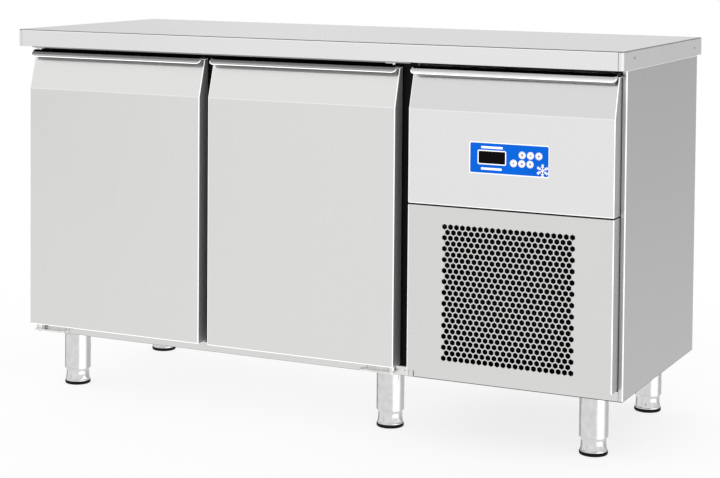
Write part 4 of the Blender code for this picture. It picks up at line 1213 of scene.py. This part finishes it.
def finned_coil(name, node, across, fins, fin_finish, tube_finish):
    """A coil: thin fins between two end plates, with tube bends outside the plates.

    The tubes run along the axis across, 0 for X and 1 for Y, in two columns.
    """
    low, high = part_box(node)
    deep = 1 - across
    first, last = low[across] + 0.011, high[across] - 0.011
    pitch, start, inset = 0.032, 0.024, 0.004

    def slab(mesh, place, thickness, margin):
        near, far = low.copy(), high.copy()
        near[across], far[across] = place - thickness / 2, place + thickness / 2
        near.z, far.z = near.z + margin, far.z - margin
        cuboid(mesh, near, far)

    def spot(along, depth, z):
        point = Vector((0, 0, z))
        point[across], point[deep] = along, depth
        return point

    block = bmesh.new()
    for n in range(1, fins):
        slab(block, first + (last - first) * n / fins, 0.0005, inset)
    for place in (first, last):
        slab(block, place, 0.0012, 0.0)
    show(as_object(f"{name}_fins", block), fin_finish, node, weighted=False)
    rows = int((high.z - low.z - 0.030) // pitch)
    paths = []
    for column in (0.28, 0.72):
        depth = low[deep] + (high[deep] - low[deep]) * column
        for row in range(rows):
            z = low.z + start + row * pitch
            paths.append([spot(place, depth, z) for place in (first, last)])
            if row + 1 < rows:
                end, out = (last, 0.0062) if row % 2 else (first, -0.0062)
                turn = arc((0.0, 1.0), 1.0, -90, 90, 8)
                paths.append([spot(end + out * x, depth, z + pitch / 2 * y) for x, y in turn])
    tubes = wire(f"{name}_tubes", paths, 0.0045, resolution=3)
    show(tubes, tube_finish, sharp=60, weighted=False)


def round_axis(axis, point):
    """A point drawn round +Z, turned to lie round X or Y."""
    x, y, z = point
    return (z, x, y) if axis == "X" else (x, z, y)


def blade_width(chord, share):
    """How wide a blade is at a share of its length: it swells outward and narrows at its rounded tip."""
    swell = 0.62 + 0.38 * math.sin(math.pi * min(share * 1.15, 1.0) / 2)
    return chord * swell * (1 - 0.55 * max(0, share - 0.86) ** 1.4 / 0.14**1.4)


def fan(name, axis, hub_radius, hub_length, chord, pitch_deg, blades=5):
    """A moulded wheel: a capped hub and twisted, cambered blades with rounded tips."""
    node = f"{name}_blade"
    centre = joint_place(f"{name}_spin")
    out = "YX".index(axis)
    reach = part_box(node)[1][out] - centre[out] - 0.0005
    half, edge, bore, root = hub_length / 2, 0.002, 0.0033, hub_radius - 0.0015
    hub = [(0.0, -half), (hub_radius * 0.7, -half + 0.0005), (hub_radius - edge * 0.3, -half + edge * 0.6)]
    hub += [(hub_radius, -half + edge * 1.6), (hub_radius, half), (bore, half), (bore, 0.0), (0.0, 0.0)]
    parts = [turned(f"{name}_hub", hub, centre, axis, 40)]
    spans, chords = 10, 8
    for blade in range(blades):
        mesh = bmesh.new()
        grid = []
        for share in [n / spans for n in range(spans + 1)]:
            radius = root + (reach - root) * share
            pitch = math.radians(pitch_deg) * (1.15 - 0.35 * share)
            width = blade_width(chord, share)
            line = []
            for t in [n / chords - 0.5 for n in range(chords + 1)]:
                lift = width * t * math.sin(pitch) + 0.06 * width * (1 - 4 * t * t)
                around = width * t * math.cos(pitch) / max(radius, 0.01) * 0.9
                angle = 2 * math.pi * blade / blades + around
                place = round_axis(axis, (radius * math.cos(angle), radius * math.sin(angle), lift))
                line.append(mesh.verts.new(place))
            grid.append(line)
        skinned(mesh, grid)
        bmesh.ops.translate(mesh, verts=mesh.verts, vec=centre)
        parts.append(thickened(as_object(f"{name}_vane", mesh), 0.0014, 0))
    show(merged(f"{name}_wheel", parts), BLACK, node, sharp=45, weighted=False)


def evaporator():
    """The cold side's air cooler: its cover, coil, fan and motor."""
    finned_coil("evaporator", "evaporator_coil", 1, 78, ALUMINIUM, COPPER)
    _, y, z = joint_place("evaporator_fan_spin")
    low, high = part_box("evaporator_cover")
    face = 0.115
    cover = applied(folded_pan("cover", (face, low.y, low.z), high, "+X", 0.003))
    mouth = plate("mouth", [circle((y, z), 0.058, 64)], face - 0.01, face + 0.01, "X")
    starts = [-0.180 + 0.045 * n for n in range(8)]
    slots = [rounded((start, start + 0.030), (0.480, 0.486), 0.0028, steps=4) for start in starts]
    cover = combined(cover, [mouth, plate("returns", slots, face - 0.005, face + 0.005, "X")])
    shelf_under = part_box("shelf_right")[0].z - GAP
    ledge_low, ledge_high = (low.x, low.y, shelf_under - 0.002), (face + 0.0006, high.y, shelf_under)
    ledge = soft_box("ledge", ledge_low, ledge_high, 0.0006, 2)
    ring = [(0.0566, 0.0060), (0.0572, -0.0004), (0.0590, -0.0004), (0.0582, 0.0060)]
    collar = turned("collar", ring, (face, y, z), "X", 64)
    show(merged("cooler_cover", [cover, ledge, collar]), (LINER_STEEL, LINER_STEEL), "evaporator_cover")
    fan("evaporator_fan", "X", 0.014, 0.013, 0.026, 22)
    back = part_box("evaporator_coil")[0].x - GAP
    shaft = [(0.0, 0.126), (0.0026, 0.126), (0.003, 0.1264), (0.003, 0.136), (0.009, 0.136), (0.010, 0.1370)]
    body = [*shaft, (0.010, 0.1385), (0.0225, 0.1385), (0.024, 0.140)]
    for x in [0.1430 + n * 0.0034 for n in range(5)]:
        body += [(0.024, x), (0.0228, x + 0.0005), (0.0228, x + 0.0014), (0.024, x + 0.0019)]
    body += [(0.024, back - 0.001), (0.023, back), (0.0, back)]
    show(turned("cooler_motor", body, (0, y, z), "X", 48), BLACK, "evaporator_fan_motor")


# Machine bay


def condenser():
    """The warm side's air path: coil, shroud with its ring, fan and motor."""
    finned_coil("condenser", "condenser_coil", 0, 84, FIN_BLACK, IRON)
    x, _, z = joint_place("condenser_fan_spin")
    low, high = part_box("fan_shroud")
    wall = -0.120
    shroud = applied(folded_pan("shroud_box", low, (high.x, wall, high.z), "-Y", 0.004))
    mouth = plate("mouth", [circle((x, z), 0.1257, 96)], wall - 0.006, wall + 0.006)
    ring = [(0.1250, -0.1225), (0.1290, wall - 0.0008), (0.1265, wall + 0.003), (0.1265, high.y - 0.0015)]
    ring += [(0.1265, high.y - 0.0006), (0.1258, high.y), (0.1250, high.y - 0.001)]
    parts = [combined(shroud, [mouth]), turned("ring", ring, (x, 0, z), "Y", 96)]
    show(merged("air_shroud", parts), (BLACK, BLACK), "fan_shroud", sharp=40)
    fan("condenser_fan", "Y", 0.022, 0.028, 0.052, -28)
    condenser_motor(x, z, wall)


def condenser_motor(x, z, wall):
    """A banded motor on an arm that two posts hold off the shroud's wall."""
    front, back, radius = -0.0825, -0.030, 0.038
    body = [(0.0, -0.100), (0.0026, -0.100), (0.003, -0.0996), (0.003, front), (0.012, front)]
    body += [(0.014, front + 0.004), (0.033, front + 0.006), (radius, front + 0.011), (radius, front + 0.020)]
    body += [(radius - 0.0015, front + 0.021), (radius - 0.0015, front + 0.0225), (radius, front + 0.0235)]
    body += [(radius, back - 0.010), (0.033, back - 0.004), (0.014, back), (0.0, back)]
    parts = [soft_box("arm", (x - 0.152, -0.084, z - 0.010), (x + 0.152, -0.081, z + 0.010), 0.0006, 2)]
    for left in (x - 0.152, x + 0.142):
        post_low, post_high = (left, wall + GAP, z - 0.008), (left + 0.010, -0.083, z + 0.008)
        parts.append(soft_box("post", post_low, post_high, 0.0008, 2))
    motor = combined(turned("condenser_motor", body, (x, 0, z), "Y", 56), parts, "UNION")
    show(motor, ZINC, "condenser_fan_motor")


def compressor():
    """A welded pot on a foot plate, with four rubber mounts and their bolts."""
    low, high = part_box("compressor")
    x, y = (low.x + high.x) / 2, (low.y + high.y) / 2
    bottom, top = low.z, high.z
    dome_drops = [(0.0, 0.0), (0.018, 0.0006), (0.036, 0.0030), (0.052, 0.0085), (0.066, 0.0190)]
    seam_drops = [(0.0735, 0.0330), (0.0765, 0.0480), (0.0770, 0.0640), (0.0790, 0.0650), (0.0800, 0.0660)]
    pan_drops = [(0.0800, 0.0715), (0.0790, 0.0725), (0.0765, 0.0735), (0.0760, 0.0950), (0.0735, 0.1130)]
    pan_drops += [(0.0660, 0.1300), (0.0520, 0.1390), (0.0, 0.1420)]
    drops = [*dome_drops, *seam_drops, *pan_drops]
    pot = turned("compressor_pot", [(radius, top - drop) for radius, drop in drops], (x, y, 0), "Z", 72)
    plate_low, plate_high = (low.x, y - 0.050, bottom + 0.012), (high.x, y + 0.050, bottom + 0.024)
    mount = [(0.0, 0.0125), (0.009, 0.0125), (0.012, 0.008), (0.012, 0.003), (0.009, 0.0), (0.0, 0.0)]
    bolt = [(0.0, 0.030), (0.0052, 0.030), (0.0060, 0.0292), (0.0060, 0.0238), (0.0, 0.0238)]
    parts = [soft_box("foot_plate", plate_low, plate_high, 0.002, 2)]
    for name, profile, steps in (("mount", mount, 24), ("bolt", bolt, 6)):
        profile = [(radius, bottom + rise) for radius, rise in profile]
        for dx, dy in ((-0.070, -0.037), (0.070, -0.037), (0.070, 0.037), (-0.070, 0.037)):
            parts.append(turned(name, profile, (x + dx, y + dy, 0), "Z", steps))
    show(combined(pot, parts, "UNION"), IRON, "compressor")


def electrical_box():
    """A moulded case and lid on a narrower neck, with four lid screws."""
    low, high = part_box("electrical_box")
    split = low.z + (high.z - low.z) * 0.72
    neck_low, neck_high = low + Vector((0.003, 0.003, 0.05)), (high.x - 0.003, high.y - 0.003, split + 0.01)
    case = soft_box("case", low, (high.x, high.y, split), 0.003)
    lid = soft_box("lid", (low.x, low.y, split + 0.0006), high, 0.003)
    neck = soft_box("neck", neck_low, neck_high, 0.001, 1)
    show(merged("electrical_case", [case, lid, neck]), BLACK, "electrical_box")
    screws = bmesh.new()
    for x in (low.x + 0.010, high.x - 0.010):
        for y in (low.y + 0.010, high.y - 0.010):
            dome(screws, (x, y, high.z), (0, 0, 1), 0.0034, 0.0018)
    show(as_object("case_screws", screws), PIN_STEEL)


def lines():
    """The copper line from the compressor to the cold side, and the cable coiled up behind the back."""
    pot_low, pot_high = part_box("compressor")
    x, y = (pot_low.x + pot_high.x) / 2, (pot_low.y + pot_high.y) / 2
    low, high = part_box("suction_line")
    z = high.z - LINE_RADIUS
    route = [(x, y, low.z), (x, y, 0.400), (x, LINE_Y, 0.430), (x, LINE_Y, z), (low.x, LINE_Y, z)]
    pipe = wire("copper_pipe", [bent(route, 0.012)], LINE_RADIUS, resolution=6)
    show(pipe, COPPER, "suction_line", sharp=60, weighted=False)
    low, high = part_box("power_cable")
    radius = 0.004
    outside, left, right = high.y - radius, low.x + radius, high.x - radius
    bottom, top = low.z + radius, high.z - radius
    route = [(left, low.y, CABLE_Z), (left, outside, CABLE_Z), (left, outside, bottom)]
    route += [(right, outside, bottom), (right, outside, top), (0.460, outside, top), (0.460, outside, 0.260)]
    cable = wire("mains_cable", [bent(route, 0.008)], radius, resolution=6)
    show(cable, CABLE, "power_cable", sharp=60, weighted=False)


def tray():
    # Painted shade underneath
    sheet = paint_underside_shade(folded_pan("bay_tray", *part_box("machine_base_tray"), "+Z"))
    show(sheet, (STEEL_X, STEEL_X, UNDERSIDE_PAINTED_SHADE), "machine_base_tray")


def controller():
    """The controller's case behind the fascia, with its display block."""
    low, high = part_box("controller_module")
    front = FACE + 0.005
    case = soft_box("controller_case", (low.x, front, low.z), high, 0.0015, 2)
    block = display_block("block", (FACE - 0.0002, front + 0.002), 0.0006, 0.0003, 1)
    show(combined(case, [block], "UNION"), BLACK, "controller_module")


# CAD nodes that keep their own shape


def finish_cad_nodes():
    """Every CAD node's finish, by its material slot; those that a piece replaces aren't shown."""
    by_slot = {
        "brushed_steel": STEEL_Z, "zinc_plate": ZINC, "aluminium_fin": ALUMINIUM, "polyurethane_foam": FOAM,
        "grey_gasket": RUBBER, "black_plastic": BLACK, "black_iron": IRON, "blue_overlay": BLUE,
        "white_key": KEY_WHITE, "copper_line": COPPER,
    }
    for part in frame["record"]["subparts"]:
        data = frame["nodes"][part["node"]].data
        data.materials.clear()
        data.materials.append(by_slot.get(part.get("material_slot") or part.get("material"), STEEL_Z))


# Stage, light and camera


def lobe(tree, direction, azimuth_deg, wide_deg, soft_deg):
    """1 within wide_deg of an azimuth, falling to 0 over soft_deg more.

    Azimuth 0 is in front of the doors, and 90 is to their right.
    """
    a = math.radians(azimuth_deg)
    towards = {0: direction, 1: (math.sin(a), -math.cos(a), 0.0)}
    cosine = add(tree, "VectorMath", towards, operation="DOT_PRODUCT").outputs["Value"]
    outer, inner = math.cos(math.radians(wide_deg + soft_deg)), math.cos(math.radians(wide_deg))
    return ramp(tree, cosine, outer, inner, smooth=True)


def studio():
    """A pale room: even and bright, with soft dark panels round it and a low light to the right."""
    world = bpy.data.worlds.new("studio")
    bpy.context.scene.world = world
    world.use_nodes = True
    tree = world.node_tree
    tree.nodes.clear()
    direction = add(tree, "TexCoord").outputs["Generated"]
    height = add(tree, "SeparateXYZ", {0: direction}).outputs[2]
    low_light = times(tree, lobe(tree, direction, 76, 16, 28), ramp(tree, height, -0.17, -0.11, 0.80, 0.0))
    level = plus(tree, 0.97, low_light)
    # Dark panels: azimuth, half width, softness and depth
    panels = (
        (152, 20, 26, ramp(tree, height, -0.24, -0.05, 0.28, 0.46)), (-122, 12, 20, 0.55),
        (-166, 10, 14, 0.16), (-42, 5, 9, 0.17), (94, 8, 14, ramp(tree, height, -0.17, -0.11, 0.0, 0.17)),
    )
    for azimuth, wide, soft, depth in panels:
        shade = times(tree, lobe(tree, direction, azimuth, wide, soft), depth)
        level = maths(tree, "SUBTRACT", level, shade)
    level = times(tree, level, ramp(tree, height, -0.22, -0.06, 0.965, 1.0))
    level = times(tree, level, ramp(tree, height, 0.15, 0.45, 1.0, 1.06, True))
    level = times(tree, level, ramp(tree, height, 0.70, 0.90, 1.0, 0.55, True))
    seen = add(tree, "LightPath").outputs["Is Camera Ray"]
    colour = mixed(tree, seen, greyed(tree, level), WHITE)
    background = add(tree, "Background", {"Color": colour, "Strength": 1.0})
    out = tree.nodes.new("ShaderNodeOutputWorld")
    tree.links.new(background.outputs[0], out.inputs[0])
    bpy.context.scene.view_settings.view_transform = "Standard"


def floor():
    """A pale floor that glows, so that only soft shadows show on it."""
    mesh = bmesh.new()
    bmesh.ops.create_grid(mesh, x_segments=2, y_segments=2, size=40.0)
    obj = as_object("floor", mesh)
    made, _ = blank("pale_floor", "floor")
    wired(
        made, Base_Color=(0.26, 0.26, 0.26, 1.0), Roughness=0.9, Specular_IOR_Level=0.0,
        Emission_Color=WHITE, Emission_Strength=0.79,
    )
    obj.data.materials.append(made)
    obj.visible_glossy = False
    obj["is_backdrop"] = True


def camera():
    """A long lens at chest height, turned to the left.

    Its lens shift drops the view. A driver takes the shift away when the camera stands anywhere else.
    """
    place = Vector((1.8395, -3.8321, 1.1008))
    yaw, pitch, roll = math.radians(-25.971), math.radians(2.583), math.radians(0.454)
    ahead = Vector((math.sin(yaw) * math.cos(pitch), math.cos(yaw) * math.cos(pitch), -math.sin(pitch)))
    right = ahead.cross(Vector((0, 0, 1))).normalized()
    up = right.cross(ahead)
    across = right * math.cos(roll) + up * math.sin(roll)
    upward = up * math.cos(roll) - right * math.sin(roll)
    data = bpy.data.cameras.new("camera")
    data.lens = 90.82
    data.sensor_width = 36.0
    data.clip_start, data.clip_end = 0.1, 200.0
    obj = bpy.data.objects.new("camera", data)
    bpy.context.scene.collection.objects.link(obj)
    turn = Matrix((across, upward, -ahead)).transposed().to_4x4()
    obj.matrix_world = Matrix.Translation(place) @ turn
    for channel, amount in (("shift_x", 0.0209), ("shift_y", -0.3153)):
        driver = data.driver_add(channel).driver
        spot = driver.variables.new()
        spot.name = "spot"
        spot.type = "TRANSFORMS"
        spot.targets[0].id = obj
        spot.targets[0].transform_type = "LOC_X"
        spot.targets[0].transform_space = "WORLD_SPACE"
        driver.expression = f"{amount} if abs(spot - {place.x:.4f}) < 0.0005 else 0.0"
    bpy.context.scene.camera = obj


finish_cad_nodes()
worktop()
end_caps()
side_panels()
back_panel()
front_frame()
doors()
fascia()
film()
keys()
grille_panel()
legs()
tank()
for word in ("left", "right"):
    shelf(word)
evaporator()
condenser()
compressor()
electrical_box()
lines()
tray()
controller()
studio()
floor()
camera()

boxes = {"cad": CAD_BOX, "visual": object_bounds()}
{name: [list(corner) for corner in box] for name, box in boxes.items()}
